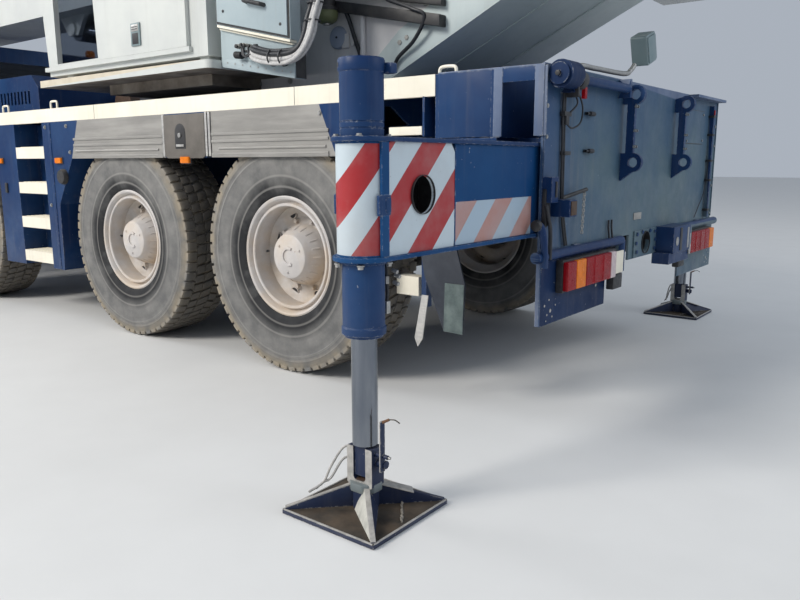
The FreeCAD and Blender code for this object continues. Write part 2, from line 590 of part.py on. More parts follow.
def pane(low, high, z_low, z_high, sunk):
    """Corners of a pane in a sloping front, sunk below its outer face."""
    feet = [(on_slope(low, high, z), z) for z in (z_low, z_high)]
    return [(feet[0][0] + " - " + sunk, z_low), (feet[1][0] + " - " + sunk, z_high),
            (feet[1][0] + " - %s - glass_wall" % sunk, z_high), (feet[0][0] + " - %s - glass_wall" % sunk, z_low)]


def carrier_glass():
    slope = side_prism(pane(CAB_SIDE[2], CAB_SIDE[3], "sill_z - 60", "cab_top - 160", "20"),
                       "-cab_half + 110", "2 * cab_half - 220")
    rear = box("cab_rear + 20", "-cab_half + 300", "sill_z + 60", "glass_wall", "2 * cab_half - 600",
               "cab_top - 220 - sill_z")
    return fuse(slope, rear)


sub_part("carrier_cab_glass", carrier_glass())


def cab_interior():
    floor = "cab_bottom + cab_wall"
    pieces = [box("cab_nose - 420", "-cab_half + cab_wall + 40", floor, "300", "2 * (cab_half - cab_wall - 40)",
                  "sill_z - 130 - (%s)" % floor)]
    for side in (1, -1):
        pieces.append(box("door_rear + 150", "%d * 640 - 230" % side, floor, "480", "460", "400"))
        back = [("door_rear + 60", floor), ("door_rear + 150", floor), ("door_rear + 150", "cab_bottom + 480"),
                ("door_rear + 60", "cab_bottom + 1150"), ("door_rear - 20", "cab_bottom + 1150")]
        pieces.append(side_prism(back, "%d * 640 - 230" % side, "460"))
    return fuse(*pieces)


sub_part("cab_interior", cab_interior())


def front_bumper():
    bar = side_prism([("bumper_rear", "bumper_bottom"), ("bumper_front - 40", "bumper_bottom"),
                      ("bumper_front", "bumper_bottom + 60"), ("bumper_front", "cab_bottom - 40"),
                      ("bumper_rear", "cab_bottom - 10")], "-cab_half", "2 * cab_half")
    return bar


sub_part("front_bumper", front_bumper())


# Engine behind the cab, under a hood that is open below

def engine_hood():
    outer = side_prism([("hood_rear", "deck_top"), ("hood_front", "deck_top"), ("hood_front", "hood_top"),
                        ("hood_rear + 120", "hood_top"), ("hood_rear", "hood_top - 120")],
                       "-hood_half", "2 * hood_half")
    inside = box("hood_rear + hood_wall", "-hood_half + hood_wall", "deck_top - 1",
                 "hood_front - hood_rear - 2 * hood_wall", "2 * (hood_half - hood_wall)",
                 "hood_top - 140 - deck_top")
    vents = [box("hood_rear + 170 + %d" % (row * 70), "-hood_half - 1", "hood_top - 260", "36", "2 * hood_half + 2",
                 "180 - 60") for row in range(9)]
    return cut(outer, inside, *vents)


sub_part("engine_hood", engine_hood())
sub_part("engine_block", box("hood_rear + 80", "-engine_w / 2", "deck_top", "engine_len", "engine_w",
                             "engine_h - 200"))


def muffler():
    can = rod("muffler_x", "-muffler_len / 2 - 500", "muffler_z", "muffler_r", "muffler_len", "y")
    pipe = rod("muffler_x", "-muffler_len / 2 - 420", "muffler_z", "42", "230")
    feet = [box("muffler_x - 60", "%d" % y, "deck_top", "120", "30", "muffler_z - deck_top") for y in (-800, -300)]
    return fuse(can, pipe, *feet)


sub_part("muffler", muffler())


# Axles with their suspension struts, steering knuckles, wheels

AXLES = (("rear", "0"), ("middle", "axle_gap"), ("front", "axle_gap + front_axle_gap"))


def axles():
    pieces = [rod("0", "0", "tyre_r", "45", "axle_gap + front_axle_gap", "x")]
    for name, x in AXLES:
        reach = "wheel_face_y - disc_depth" if name != "front" else "kingpin_y - fork_width / 2"
        pieces.append(rod(x, "-(%s)" % reach, "tyre_r", "axle_tube_r", "2 * (%s)" % reach, "y"))
        pieces.append(rod(x, "-140", "tyre_r", "diff_r", "280", "y"))
        for side in (1, -1):
            pieces.append(rod(x, "%d * strut_y" % side, "tyre_r", "strut_r", "frame_bottom - tyre_r"))
            if name == "front":
                for lift in ("kingpin_half + hinge_gap", "-kingpin_half - fork_plate - hinge_gap"):
                    pieces.append(box("%s - fork_width / 2" % x,
                                      low_y(side, "kingpin_y - fork_width - 20", "fork_width + 80"),
                                      "tyre_r + (%s)" % lift, "fork_width", "fork_width + 80", "fork_plate"))
                pieces.append(box("%s - fork_width / 2" % x, low_y(side, "kingpin_y - fork_width - 20", "60"),
                                  "tyre_r - kingpin_half - fork_plate", "fork_width", "60",
                                  "2 * (kingpin_half + fork_plate)"))
            else:
                pieces.append(rod(x, low_y(side, "wheel_face_y - disc_depth", "spindle_len"), "tyre_r",
                                  "spindle_r", "spindle_len", "y"))
    return fuse(*pieces)


sub_part("axles", axles())


def knuckle(side):
    front = "axle_gap + front_axle_gap"
    king = rod(front, "%d * kingpin_y" % side, "tyre_r - kingpin_half", "kingpin_r + 20", "2 * kingpin_half")
    stub = rod(front, low_y(side, "kingpin_y", "wheel_face_y - disc_depth - kingpin_y"), "tyre_r",
               "axle_tube_r", "wheel_face_y - disc_depth - kingpin_y", "y")
    tip = rod(front, low_y(side, "wheel_face_y - disc_depth", "spindle_len"), "tyre_r", "spindle_r",
              "spindle_len", "y")
    return fuse(king, stub, tip)


for side_name, side in (("left", 1), ("right", -1)):
    sub_part("knuckle_" + side_name, knuckle(side))


def tyre():
    half = "tyre_w / 2"
    return turned([("bead_r", "-%s + 25" % half), ("bead_r + 45", "-%s - sidewall_bulge + 10" % half),
                   ("tyre_r - 150", "-%s - sidewall_bulge" % half), ("tyre_r - 55", "-%s" % half),
                   ("tyre_r - 8", "-%s + 32" % half), ("tyre_r", "-%s + 70" % half),
                   ("tyre_r", "%s - 70" % half), ("tyre_r - 8", "%s - 32" % half),
                   ("tyre_r - 55", half), ("tyre_r - 150", "%s + sidewall_bulge" % half),
                   ("bead_r + 45", "%s + sidewall_bulge - 10" % half), ("bead_r", "%s - 25" % half)])


def rim(side):
    """Well and flanges, a dished disc with hand holes, and a deep hub with its cap."""
    half = "(tyre_w / 2 - 25)"
    disc = "(tyre_w / 2 - disc_depth)"
    flip = "%d * " % side
    profile = [("bead_r", "-1 * " + half), ("bead_r", half), ("bead_r - rim_wall", half),
               ("rim_well_r + 12", half + " - 70"), ("rim_well_r - rim_wall", disc + " + 20"),
               ("hand_hole_circle + 40", disc + " - 18"), ("hand_hole_circle - 50", disc + " + 34"),
               ("hub_cap_r", disc + " + 36"), ("hub_cap_r", disc + " + hub_cap_len"),
               ("hub_cap_r - 14", disc + " + hub_cap_len + 12"), ("0", disc + " + hub_cap_len + 12"),
               ("0", disc + " + spindle_len + 5"), ("spindle_r + spindle_gap", disc + " + spindle_len + 5"),
               ("spindle_r + spindle_gap", disc + " + 0.3"), ("hub_cap_r", disc + " + 0.3"),
               ("hub_cap_r", disc + " + 8"), ("hand_hole_circle - 50", disc + " + 10"),
               ("hand_hole_circle + 40", disc + " - 18 - disc_wall"), ("rim_well_r - 2 * rim_wall", disc + " - 10"),
               ("rim_well_r - 2 * rim_wall", "-1 * " + half + " + 60"), ("bead_r - rim_wall", "-1 * " + half)]
    body = turned([(r, flip + "(" + y + ")") for r, y in profile])
    holes = []
    for step in range(8):
        turn = math.radians(45 * step)
        holes.append(rod("hand_hole_circle * %.6f" % math.cos(turn), low_y(side, "-20", "120"),
                         "hand_hole_circle * %.6f" % math.sin(turn), "hand_hole_r", "120", "y"))
    return cut(body, *holes)


for name, x in AXLES:
    for side_name, side in (("left", 1), ("right", -1)):
        centre = (x, "%d * (wheel_face_y - tyre_w / 2)" % side, "tyre_r")
        sub_part("tyre_%s_%s" % (name, side_name), tyre(), *centre)
        sub_part("rim_%s_%s" % (name, side_name), rim(side), *centre)


# Outrigger beams with their jack cylinders, the rods and the pads

REACH = {"rear_left": "rear_left_y", "rear_right": "rear_right_y", "front_left": "front_y",
         "front_right": "front_y"}


def outrigger_beam(x, side, jack_y):
    inner = "%s + 69 - beam_len" % jack_y
    low = low_y(side, inner, "beam_len - jack_r - 50")
    tube = box("%s - beam_w / 2" % x, low, "beam_bottom", "beam_w", "beam_len - jack_r - 50", "beam_top - beam_bottom")
    hollow = box("%s - beam_w / 2 + beam_wall" % x, low_y(side, inner + " - 1", "beam_len - jack_r - 150"),
                 "beam_bottom + beam_wall", "beam_w - 2 * beam_wall", "beam_len - jack_r - 150",
                 "beam_top - beam_bottom - 2 * beam_wall")
    jack = rod(x, "%d * (%s)" % (side, jack_y), "jack_bottom", "jack_r", "jack_top - jack_bottom")
    cheeks = [box(start, low_y(side, "%s - jack_r - 60" % jack_y, "jack_r + 129"), "beam_bottom", "beam_wall",
                  "jack_r + 129", "beam_top - beam_bottom")
              for start in ("%s - beam_w / 2" % x, "%s + beam_w / 2 - beam_wall" % x)]
    end = box("%s - beam_w / 2" % x, low_y(side, "%s + 57" % jack_y, "12"), "beam_bottom", "beam_w", "12",
              "beam_top - beam_bottom")
    flanges = [box("%s - beam_w / 2 - flange_out" % x, low_y(side, inner, "beam_len + 26"), z,
                   "beam_w + 2 * flange_out", "beam_len + 26", "flange_wall")
               for z in ("beam_top - flange_wall", "beam_bottom")]
    return cut(fuse(cut(tube, hollow), jack, *cheeks, end, *flanges),
               rod(x, "%d * (%s)" % (side, jack_y), "jack_bottom - 1", "jack_bore_r", "jack_top - 50 - jack_bottom"),
               rod("%s - beam_w / 2 - 30" % x, "%d * (%s - beam_hole_y)" % (side, jack_y), "beam_hole_z",
                   "beam_hole_r", "60", "x"))


def jack_rod(x, side, jack_y):
    """The piston rod with its head, and below the stem the narrow eye that the pad's fork holds."""
    centre = (x, "%d * (%s)" % (side, jack_y))
    stem = rod(*centre, "rod_end", "rod_r", "rod_top - rod_end")
    head = rod(*centre, "rod_top - 120", "jack_bore_r - rod_gap", "120")
    eye = box("%s - rod_eye" % x, centre[1] + " - rod_eye", "pad_plate + pad_rise + 0.3", "2 * rod_eye",
              "2 * rod_eye", "rod_end - pad_plate - pad_rise - 0.3")
    return fuse(stem, head, eye)


def spun(shape, x, y, angle):
    """A shape drawn about the origin, turned about Z and stood at x, y."""
    holder = doc.addObject("Part::Compound", "Spun")
    holder.Links = [shape]
    holder.Placement = FreeCAD.Placement(V(), FreeCAD.Rotation(V(0, 0, 1), angle))
    holder.setExpression("Placement.Base.x", bind(x))
    holder.setExpression("Placement.Base.y", bind(y))
    return holder


def jack_pad(x, side, jack_y):
    """A square plate with webs to its four corners, a socket and the fork with its pin's heads."""
    y = "%d * (%s)" % (side, jack_y)
    plate = box("%s - pad_side / 2" % x, "%s - pad_side / 2" % y, "0", "pad_side", "pad_side", "pad_plate")
    reach = "(pad_side * 0.66)"
    webs = [spun(side_prism([("-" + reach, "pad_plate - 1"), (reach, "pad_plate - 1"), (reach, "pad_plate + 10"),
                             ("pad_socket_r", "pad_plate + pad_rise"), ("-pad_socket_r", "pad_plate + pad_rise"),
                             ("-" + reach, "pad_plate + 10")], "-web_wall / 2", "web_wall"), x, y, turn)
            for turn in (45, -45)]
    socket = rod(x, y, "pad_plate", "pad_socket_r", "pad_rise")
    legs = [side_prism([("%s + %s" % (x, inner), "pad_rise"), ("%s + %s" % (x, outer), "pad_rise"),
                        ("%s + %s" % (x, outer), "rod_end - 8"), ("%s + %s" % (x, inner), "rod_end - 8")],
                       "%s - rod_eye - 5" % y, "2 * rod_eye + 10")
            for inner, outer in (("rod_eye + 0.3", "rod_eye + 0.3 + clevis_wall"),
                                 ("-rod_eye - 0.3", "-rod_eye - 0.3 - clevis_wall"))]
    heads = [rod("%s + %s" % (x, place), y, "rod_end - 60", "18", length, "x")
             for place, length in (("rod_eye + clevis_wall", "12"), ("-rod_eye - clevis_wall - 40", "40"))]
    return fuse(plate, socket, *webs, *legs, *heads)


for name, (x, side) in SLOTS.items():
    sub_part("outrigger_beam_" + name, outrigger_beam(x, side, REACH[name]))
    sub_part("jack_rod_" + name, jack_rod(x, side, REACH[name]))
    sub_part("jack_pad_" + name, jack_pad(x, side, REACH[name]))


# Slewing ring, platform with its two cheeks, tail, counterweight and winch

sub_part("slew_ring", cut(
    rod("slew_x", "0", "frame_top + 70", "ring_r", "platform_bottom - frame_top - 70 - ring_gap"),
    rod("slew_x", "0", "frame_top + 60", "ring_bore", "platform_bottom - frame_top")))

CHEEK = [("platform_front", "platform_bottom"), ("tail_fold_x", "platform_bottom"), ("tail_x", "tail_z"),
         ("tail_x", "shelf_z"), ("weight_front + 60", "shelf_z"), ("pivot_x - pivot_ear_r - 60", "pivot_z + 60"),
         ("pivot_x - 80", "pivot_z + pivot_ear_r"), ("pivot_x + 80", "pivot_z + pivot_ear_r"),
         ("pivot_x + pivot_ear_r + 40", "pivot_z - 60"), ("300", "2350"), ("900", "2120"),
         ("platform_front - 100", "2000"), ("platform_front", "1900")]


def platform():
    cheeks = [side_prism(CHEEK, y, "cheek") for y in ("-platform_half", "platform_half - cheek")]
    floor = box("tail_fold_x", "-platform_half", "platform_bottom", "platform_front - tail_fold_x",
                "2 * platform_half", "platform_plate")
    belly = side_prism([("tail_fold_x", "platform_bottom"), ("tail_x", "tail_z"), ("tail_x", "shelf_z"),
                        ("tail_fold_x", "platform_bottom + platform_plate")], "-platform_half", "2 * platform_half")
    lift_ears = [side_prism([("lift_foot_x - 160", "platform_bottom + 10"), ("lift_foot_x - 70", "lift_foot_z + 80"),
                             ("lift_foot_x + 70", "lift_foot_z + 80"), ("lift_foot_x + 160", "platform_bottom + 10")],
                            y, "ear_wall") for y in ("eye_half + ear_gap", "-eye_half - ear_gap - ear_wall")]
    pin = rod("lift_foot_x", "-eye_half - ear_gap - ear_wall", "lift_foot_z", "eye_bore",
              "2 * (eye_half + ear_gap + ear_wall)", "y")
    boom_pin = rod("pivot_x", "-platform_half", "pivot_z", "pivot_r", "2 * platform_half", "y")
    winch_pin = rod("winch_x", "-platform_half", "winch_z", "winch_pin", "2 * platform_half", "y")
    arm = box("weight_front - 160", "-platform_half", "shelf_z - 40", "200", "2 * platform_half", "40")
    return fuse(*cheeks, floor, belly, *lift_ears, pin, boom_pin, winch_pin, arm)


sub_part("platform", platform())


def counterweight():
    block = prism("XY_Plane", [[("weight_front", "-weight_half"), ("weight_front", "weight_half"),
                                ("weight_rear + 160", "weight_half"), ("weight_rear", "weight_half - 420"),
                                ("weight_rear", "-weight_half + 420"), ("weight_rear + 160", "-weight_half")]],
                  "shelf_z", "weight_top - shelf_z")
    lugs = []
    for side in (1, -1):
        plate = side_prism([("weight_rear + 180", "weight_top - 10"), ("weight_rear + 215", "weight_top + 80"),
                            ("weight_rear + 285", "weight_top + 80"), ("weight_rear + 320", "weight_top - 10")],
                           "%d * 760 - 15" % side, "30")
        lugs.append(cut(plate, rod("weight_rear + 250", "%d * 760 - 20" % side, "weight_top + 42", "20", "40", "y")))
    return fuse(block, *lugs)


sub_part("counterweight", counterweight())


def winch():
    drum = rod("winch_x", "-330", "winch_z", "winch_r - 40", "660", "y")
    ends = [rod("winch_x", y, "winch_z", "winch_r", "26", "y") for y in ("-356", "330")]
    sleeves = [rod("winch_x", y, "winch_z", "winch_pin + 30", "platform_half - cheek - 356 - 0.3", "y")
               for y in ("356", "-platform_half + cheek + 0.3")]
    bore = rod("winch_x", "-platform_half", "winch_z", "winch_pin + 0.3", "2 * platform_half", "y")
    return cut(fuse(drum, *ends, *sleeves), bore)


sub_part("winch_drum", winch())


# Operator cab with its sliding door, and the cabinets beside the platform

OPCAB_SIDE = [("opcab_rear", "opcab_bottom"), ("opcab_front - 40", "opcab_bottom"),
              ("opcab_front", "opcab_bottom + 420"), ("opcab_front - 90", "opcab_top - 260"),
              ("opcab_front - 330", "opcab_top"), ("opcab_rear", "opcab_top")]
OPCAB_INSIDE = [("opcab_rear + opcab_wall", "opcab_bottom + opcab_wall"),
                ("opcab_front - 40 - opcab_wall", "opcab_bottom + opcab_wall"),
                ("opcab_front - opcab_wall", "opcab_bottom + 420"),
                ("opcab_front - 90 - opcab_wall", "opcab_top - 260"),
                ("opcab_front - 330 - opcab_wall", "opcab_top - opcab_wall"),
                ("opcab_rear + opcab_wall", "opcab_top - opcab_wall")]


def operator_cab():
    opening = box("opdoor_rear + opdoor_travel + 60", "opcab_out - opcab_wall - 1", "opdoor_bottom + 20",
                  "opdoor_len - 160", "opcab_wall + 2", "opdoor_top - opdoor_bottom - 60")
    shell = cut(side_prism(OPCAB_SIDE, "opcab_in", "opcab_out - opcab_in"),
                side_prism(OPCAB_INSIDE, "opcab_in + opcab_wall", "opcab_out - opcab_in - 2 * opcab_wall"),
                opening,
                box("opcab_front - 400", "opcab_in + 50", "opcab_bottom + 120", "420",
                    "opcab_out - opcab_in - 100", "opcab_top - opcab_bottom - 420"),
                box("opcab_rear + 200", "opcab_in - 1", "opdoor_sill", "1300", "opcab_wall + 2",
                    "opdoor_top - opdoor_sill - 60"))
    ledge = prism("XY_Plane", [[("opcab_rear - 60", "platform_half"), ("opcab_front + 30", "platform_half"),
                                ("opcab_front + 30", "opcab_out + 50"), ("opcab_rear - 60", "opcab_out + 50")]],
                  "ledge_top - ledge_h", "ledge_h",
                  [(D.opcab_rear - 60, D.opcab_out + 50, "45")])
    mounts = [box(x, "opcab_in + %d" % y, "ledge_top", "90", "90", "opcab_bottom - ledge_top")
              for x in ("opcab_rear + 40", "opcab_front - 300") for y in (30, 430)]
    bracket = box("opcab_rear + 200", "platform_half", "ledge_top - ledge_h - 70", "1200", "420", "70")
    rails = [box("opdoor_rear - 20", "opcab_out", z, "opdoor_len + opdoor_travel + 60", "opdoor_wall", "rail_h")
             for z in ("opdoor_bottom - rail_h - slide_gap", "opdoor_top + slide_gap")]
    return fuse(shell, ledge, *mounts, bracket, *rails)


sub_part("operator_cab", operator_cab())


def operator_door():
    front = "opdoor_rear + opdoor_len"
    leaf = side_prism([("opdoor_rear", "opdoor_bottom"), (front + " - 20", "opdoor_bottom"),
                       (front, "opdoor_bottom + 420"), (front + " - 40", "opdoor_top"),
                       ("opdoor_rear", "opdoor_top")], "opcab_out + 1", "opdoor_wall")
    hole = box("opdoor_rear + 90", "opcab_out - 1", "opdoor_sill", "opdoor_len - 220", "opdoor_wall + 4",
               "opdoor_top - 90 - opdoor_sill")
    pane = box("opdoor_rear + 90", "opcab_out + 12", "opdoor_sill", "opdoor_len - 220", "glass_wall",
               "opdoor_top - 90 - opdoor_sill")
    return fuse(cut(leaf, hole), pane)


sub_part("operator_door", operator_door())


def operator_glass():
    upper = side_prism(pane(OPCAB_SIDE[2], OPCAB_SIDE[3], "opcab_bottom + 420", "opcab_top - 300", "16"),
                       "opcab_in + 50", "opcab_out - opcab_in - 100")
    lower = side_prism(pane(OPCAB_SIDE[1], OPCAB_SIDE[2], "opcab_bottom + 120", "opcab_bottom + 420", "16"),
                       "opcab_in + 50", "opcab_out - opcab_in - 100")
    inner = box("opcab_rear + 200", "opcab_in + 12", "opdoor_sill", "1300", "glass_wall",
                "opdoor_top - opdoor_sill - 60")
    return fuse(upper, lower, inner)


sub_part("operator_cab_glass", operator_glass())


def operator_seat():
    floor = "opcab_bottom + opcab_wall"
    y = "(opcab_in + opcab_out) / 2 - 210"
    seat = box("1250", y, "opcab_bottom + 480", "480", "420", "120")
    post = box("1400", "(opcab_in + opcab_out) / 2 - 90", floor, "180", "180", "440")
    back = side_prism([("1250", "opcab_bottom + 480"), ("1290", "opcab_bottom + 600"), ("1190", "opcab_bottom + 1240"),
                       ("1090", "opcab_bottom + 1240")], y, "420")
    levers = [box("1760", "(opcab_in + opcab_out) / 2 %s 170" % sign, floor, "60", "40", "640") for sign in "+-"]
    return fuse(seat, post, back, *levers)


sub_part("operator_seat", operator_seat())


def service_cabinets():
    """Two cabinets with sloping feet, full depth beside the cab and shallow at their rear."""
    front = "opcab_rear - 65"

    def cabinet(inset, front_low, rear_low, front_top, rear_top):
        outer = "cabinet_y - (%s)" % inset
        plan = prism("XY_Plane", [[(front, "platform_half"), ("%s - 80" % front, "platform_half"),
                                   ("cabinet_rear + cabinet_skin", outer + " - cabinet_skin"),
                                   ("cabinet_rear", outer + " - cabinet_skin"), ("cabinet_rear", outer),
                                   (front, outer)]], "valve_low_rear - 10", "cabinet_top - valve_low_rear + 10")
        return common(plan, side_prism([(front, front_low), (front, front_top), ("cabinet_rear", rear_top),
                                        ("cabinet_rear", rear_low)], "platform_half", "cabinet_y - platform_half"))

    upper = cabinet("0", "cabinet_low_front", "cabinet_low_rear", "cabinet_top", "cabinet_top")
    valve = cabinet("valve_inset", "valve_low_front", "valve_low_rear", "cabinet_low_front - valve_gap",
                    "cabinet_low_rear - valve_gap")
    shelf = cabinet("valve_inset + 20", "cabinet_low_front - valve_gap - 30", "cabinet_low_rear - valve_gap - 30",
                    "cabinet_low_front + 10", "cabinet_low_rear + 10")
    tank = box("-300", "-platform_half - 620", "1780", "2300", "620", "700")
    filler = rod("-150", "-platform_half - 420", "2470", "60", "70")
    return fuse(upper, valve, shelf, tank, filler)


sub_part("service_cabinets", service_cabinets())


# Boom: a base section with its foot, two middle sections, the tip with its sheaves

def hollow_section(rear, front, inset):
    """A rectangular tube inside the base section by inset all round, and its bore."""
    outer = box(rear, "-boom_w / 2 + (%s)" % inset, "boom_bottom + (%s)" % inset, "%s - (%s)" % (front, rear),
                "boom_w - 2 * (%s)" % inset, "boom_h - 2 * (%s)" % inset)
    bore = box("%s - 1" % rear, "-boom_w / 2 + boom_wall + (%s)" % inset,
               "boom_bottom + boom_wall + (%s)" % inset, "%s - (%s) + 2" % (front, rear),
               "boom_w - 2 * boom_wall - 2 * (%s)" % inset, "boom_h - 2 * boom_wall - 2 * (%s)" % inset)
    return outer, bore


def collar(front, inset):
    """A stiffening ring at a section's mouth, and the wear pads the next section slides on."""
    ring = box("%s - collar_len" % front, "-boom_w / 2 - collar_out + (%s)" % inset,
               "boom_bottom - collar_out + (%s)" % inset, "collar_len", "boom_w + 2 * collar_out - 2 * (%s)" % inset,
               "boom_h + 2 * collar_out - 2 * (%s)" % inset)
    pads = []
    inner = "boom_wall + (%s)" % inset
    pad = "section_gap - boom_wall - slide_gap"
    for z in ("boom_bottom + " + inner, "boom_bottom + boom_h - (%s) - (%s)" % (inner, pad)):
        for y in ("-boom_w / 2 + %s + 40" % inner, "boom_w / 2 - (%s) - 150" % inner):
            pads.append(box("%s - 140" % front, y, z, "120", "110", pad))
    return ring, pads


def boom_base():
    outer, bore = hollow_section("boom_rear", "boom_front", "0")
    ring, pads = collar("boom_front", "0")
    foot = side_prism([("boom_rear + 400", "boom_bottom"), ("pivot_x", "pivot_z - foot_r"),
                       ("pivot_x - foot_r", "pivot_z"), ("pivot_x", "pivot_z + foot_r"),
                       ("boom_rear", "boom_bottom + boom_h"), ("boom_rear + 400", "boom_bottom + boom_h")],
                      "-boom_w / 2", "boom_w")
    gap = box("pivot_x - foot_r - 1", "-boom_w / 2 + 90", "boom_bottom - 100", "boom_rear - pivot_x + foot_r + 1",
              "boom_w - 180", "boom_h + 200")
    bosses = [rod("pivot_x", y, "pivot_z", "foot_r - 20", "platform_half - cheek - boom_w / 2 + 10 - 0.3", "y")
              for y in ("boom_w / 2 - 10", "-platform_half + cheek + 0.3")]
    bush = rod("pivot_x", "-platform_half", "pivot_z", "pivot_r + 0.3", "2 * platform_half", "y")
    ears = [side_prism([("lift_eye_x - 230", "boom_bottom + 5"), ("lift_eye_x - 90", "lift_eye_z - 60"),
                        ("lift_eye_x + 90", "lift_eye_z - 60"), ("lift_eye_x + 230", "boom_bottom + 5")],
                       y, "ear_wall") for y in ("eye_half + ear_gap", "-eye_half - ear_gap - ear_wall")]
    stubs = [rod("lift_eye_x", y, "lift_eye_z", "eye_bore + 10", "ear_wall + 20", "y")
             for y in ("eye_half + ear_gap", "-eye_half - ear_gap - ear_wall - 20")]
    shell = cut(fuse(outer, ring, foot), bore, gap)
    return fuse(cut(fuse(shell, *bosses), bush), *pads, *ears, *stubs)


def boom_section(order, last=False):
    inset = "section_gap * %d" % order
    rear = "boom_front - section_overlap + 60 * %d" % order
    front = "boom_front + head_step * %d" % order
    outer, bore = hollow_section(rear, front, inset)
    if last:
        head = side_prism([(front + " - 140", "boom_bottom + " + inset),
                           (front + " + tip_len - 290", "boom_bottom - head_drop - 70"),
                           (front + " + tip_len - 100", "boom_bottom - head_drop - 90"),
                           (front + " + tip_len - 20", "boom_bottom - head_drop + 40"),
                           (front + " + tip_len - 40", "boom_bottom + boom_h - 170"),
                           (front + " - 60", "boom_bottom + boom_h - (%s)" % inset)],
                          "-boom_w / 2 + 110", "boom_w - 220")
        gap = box(front + " - 40", "-boom_w / 2 + 150", "boom_bottom - 400", "tip_len + 60", "boom_w - 300",
                  "boom_h + 500")
        sheaves = []
        for x, z in ((front + " + tip_len - 190", "boom_bottom - head_drop"),
                     (front + " + tip_len - 190", "boom_bottom + boom_h - 190")):
            sheaves += [rod(x, "%s - sheave_w / 2" % y, z, "sheave_r - 30", "sheave_w", "y")
                        for y in ("-fall_y", "0", "fall_y")]
            sheaves.append(rod(x, "-boom_w / 2 + 111", z, "40", "boom_w - 222", "y"))
        return fuse(cut(fuse(cut(outer, bore), head), gap), *sheaves)
    ring, pads = collar(front, inset)
    return fuse(cut(fuse(outer, ring), bore), *pads)


sub_part("boom_base", boom_base())
sub_part("boom_middle_outer", boom_section(1))
sub_part("boom_middle_inner", boom_section(2))
sub_part("boom_tip", boom_section(3, True))


# Luffing cylinder, drawn along its own axis and then tilted about its foot pin

def tilted(shape):
    holder = doc.addObject("Part::Compound", "Tilted")
    holder.Links = [shape]
    rise = D.lift_eye_z - D.lift_foot_z
    run = D.lift_eye_x - D.lift_foot_x
    holder.Placement = FreeCAD.Placement(V(), FreeCAD.Rotation(V(0, 1, 0), -math.degrees(math.atan2(rise, run))))
    holder.setExpression("Placement.Base.x", bind("lift_foot_x"))
    holder.setExpression("Placement.Base.z", bind("lift_foot_z"))
    return holder


def lift_barrel():
    tube = rod("barrel_neck - 20", "0", "0", "barrel_r", "barrel_len - barrel_neck + 20", "x")
    eye = rod("0", "-eye_half", "0", "eye_r", "2 * eye_half", "y")
    neck = box("0", "-eye_half", "-eye_r * 0.8", "barrel_neck", "2 * eye_half", "eye_r * 1.6")
    bore = rod("barrel_neck + 30", "0", "0", "barrel_bore", "barrel_len", "x")
    pin = rod("0", "-eye_half - 1", "0", "eye_bore + 0.3", "2 * eye_half + 2", "y")
    gland = cut(rod("barrel_len - 60", "0", "0", "barrel_r", "60", "x"),
                rod("barrel_len - 61", "0", "0", "lift_rod_r + rod_gap", "62", "x"))
    return tilted(fuse(cut(fuse(tube, eye, neck), bore, pin), gland))


def lift_rod():
    closed = math.hypot(D.lift_eye_z - D.lift_foot_z, D.lift_eye_x - D.lift_foot_x)
    start = "barrel_neck + 40"
    stem = rod(start, "0", "0", "lift_rod_r", "%.4f - barrel_neck - 100" % closed, "x")
    piston = rod(start, "0", "0", "barrel_bore - rod_gap", "90", "x")
    eye = rod("%.4f" % closed, "-eye_half", "0", "eye_r - 10", "2 * eye_half", "y")
    bore = rod("%.4f" % closed, "-eye_half - 1", "0", "eye_bore", "2 * eye_half + 2", "y")
    return tilted(cut(fuse(stem, piston, eye), bore))


sub_part("lift_barrel", lift_barrel())
sub_part("lift_rod", lift_rod())


def hook_block():
    x = "boom_front + head_step * 3 + tip_len - 190"
    pin_z = "boom_bottom - head_drop"
    z = pin_z + " - hook_drop"
    cheeks = [side_prism([(x + " - 110", z + " - 250"), (x + " + 110", z + " - 250"), (x + " + 160", z),
                          (x + " + 110", z + " + 130"), (x + " - 110", z + " + 130"), (x + " - 160", z)], y, "30")
              for y in ("-150", "120")]
    sheaves = [rod(x, "%s - sheave_w / 2" % y, z, "hook_sheave_r", "sheave_w", "y") for y in ("-fall_y", "fall_y")]
    falls = [rod("%s + %d * (sheave_r - 30 + rope_r + slide_gap)" % (x, end), y, z, "rope_r", "hook_drop")
             for end in (1, -1) for y in ("-fall_y", "fall_y")]
    axle = rod(x, "-150", z, "40", "300", "y")
    shank = rod(x, "0", z + " - 420", "45", "230")
    bend = doc.addObject("Part::Torus", "Bend")
    bend.Radius1, bend.Radius2, bend.Angle3 = 95, 34, 250
    bend.Placement = FreeCAD.Placement(V(), FreeCAD.Rotation(V(1, 0, 0), 90) * FreeCAD.Rotation(V(0, 0, 1), 90))
    bend.setExpression("Placement.Base.x", bind(x))
    bend.setExpression("Placement.Base.z", bind(z + " - 500"))
    cross = box(x + " - 60", "-150", z + " - 250", "120", "300", "70")
    return fuse(*cheeks, *sheaves, axle, shank, cross, bend, *falls)


sub_part("hook_block", hook_block())


def write_out():
    doc.recompute()
    bad = [item.Name for item in doc.Objects if "Invalid" in item.State or "Error" in item.State]
    bad += [label for label, item in PARTS.items() if item.Shape.isNull() or not item.Shape.isValid()]
    if bad:
        raise RuntimeError("failed: " + ", ".join(bad))
    os.makedirs("parts", exist_ok=True)
    for label, item in PARTS.items():
        item.Shape.exportStep("parts/%s.step" % label)


write_out()
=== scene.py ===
"""Looks for the three-axle all-terrain crane. Positions are given in millimetres from the
rear axle, as in the part's source: X forward, Y to the left, Z up from the ground."""
import math

import bmesh
import bpy
from mathutils import Matrix, Vector


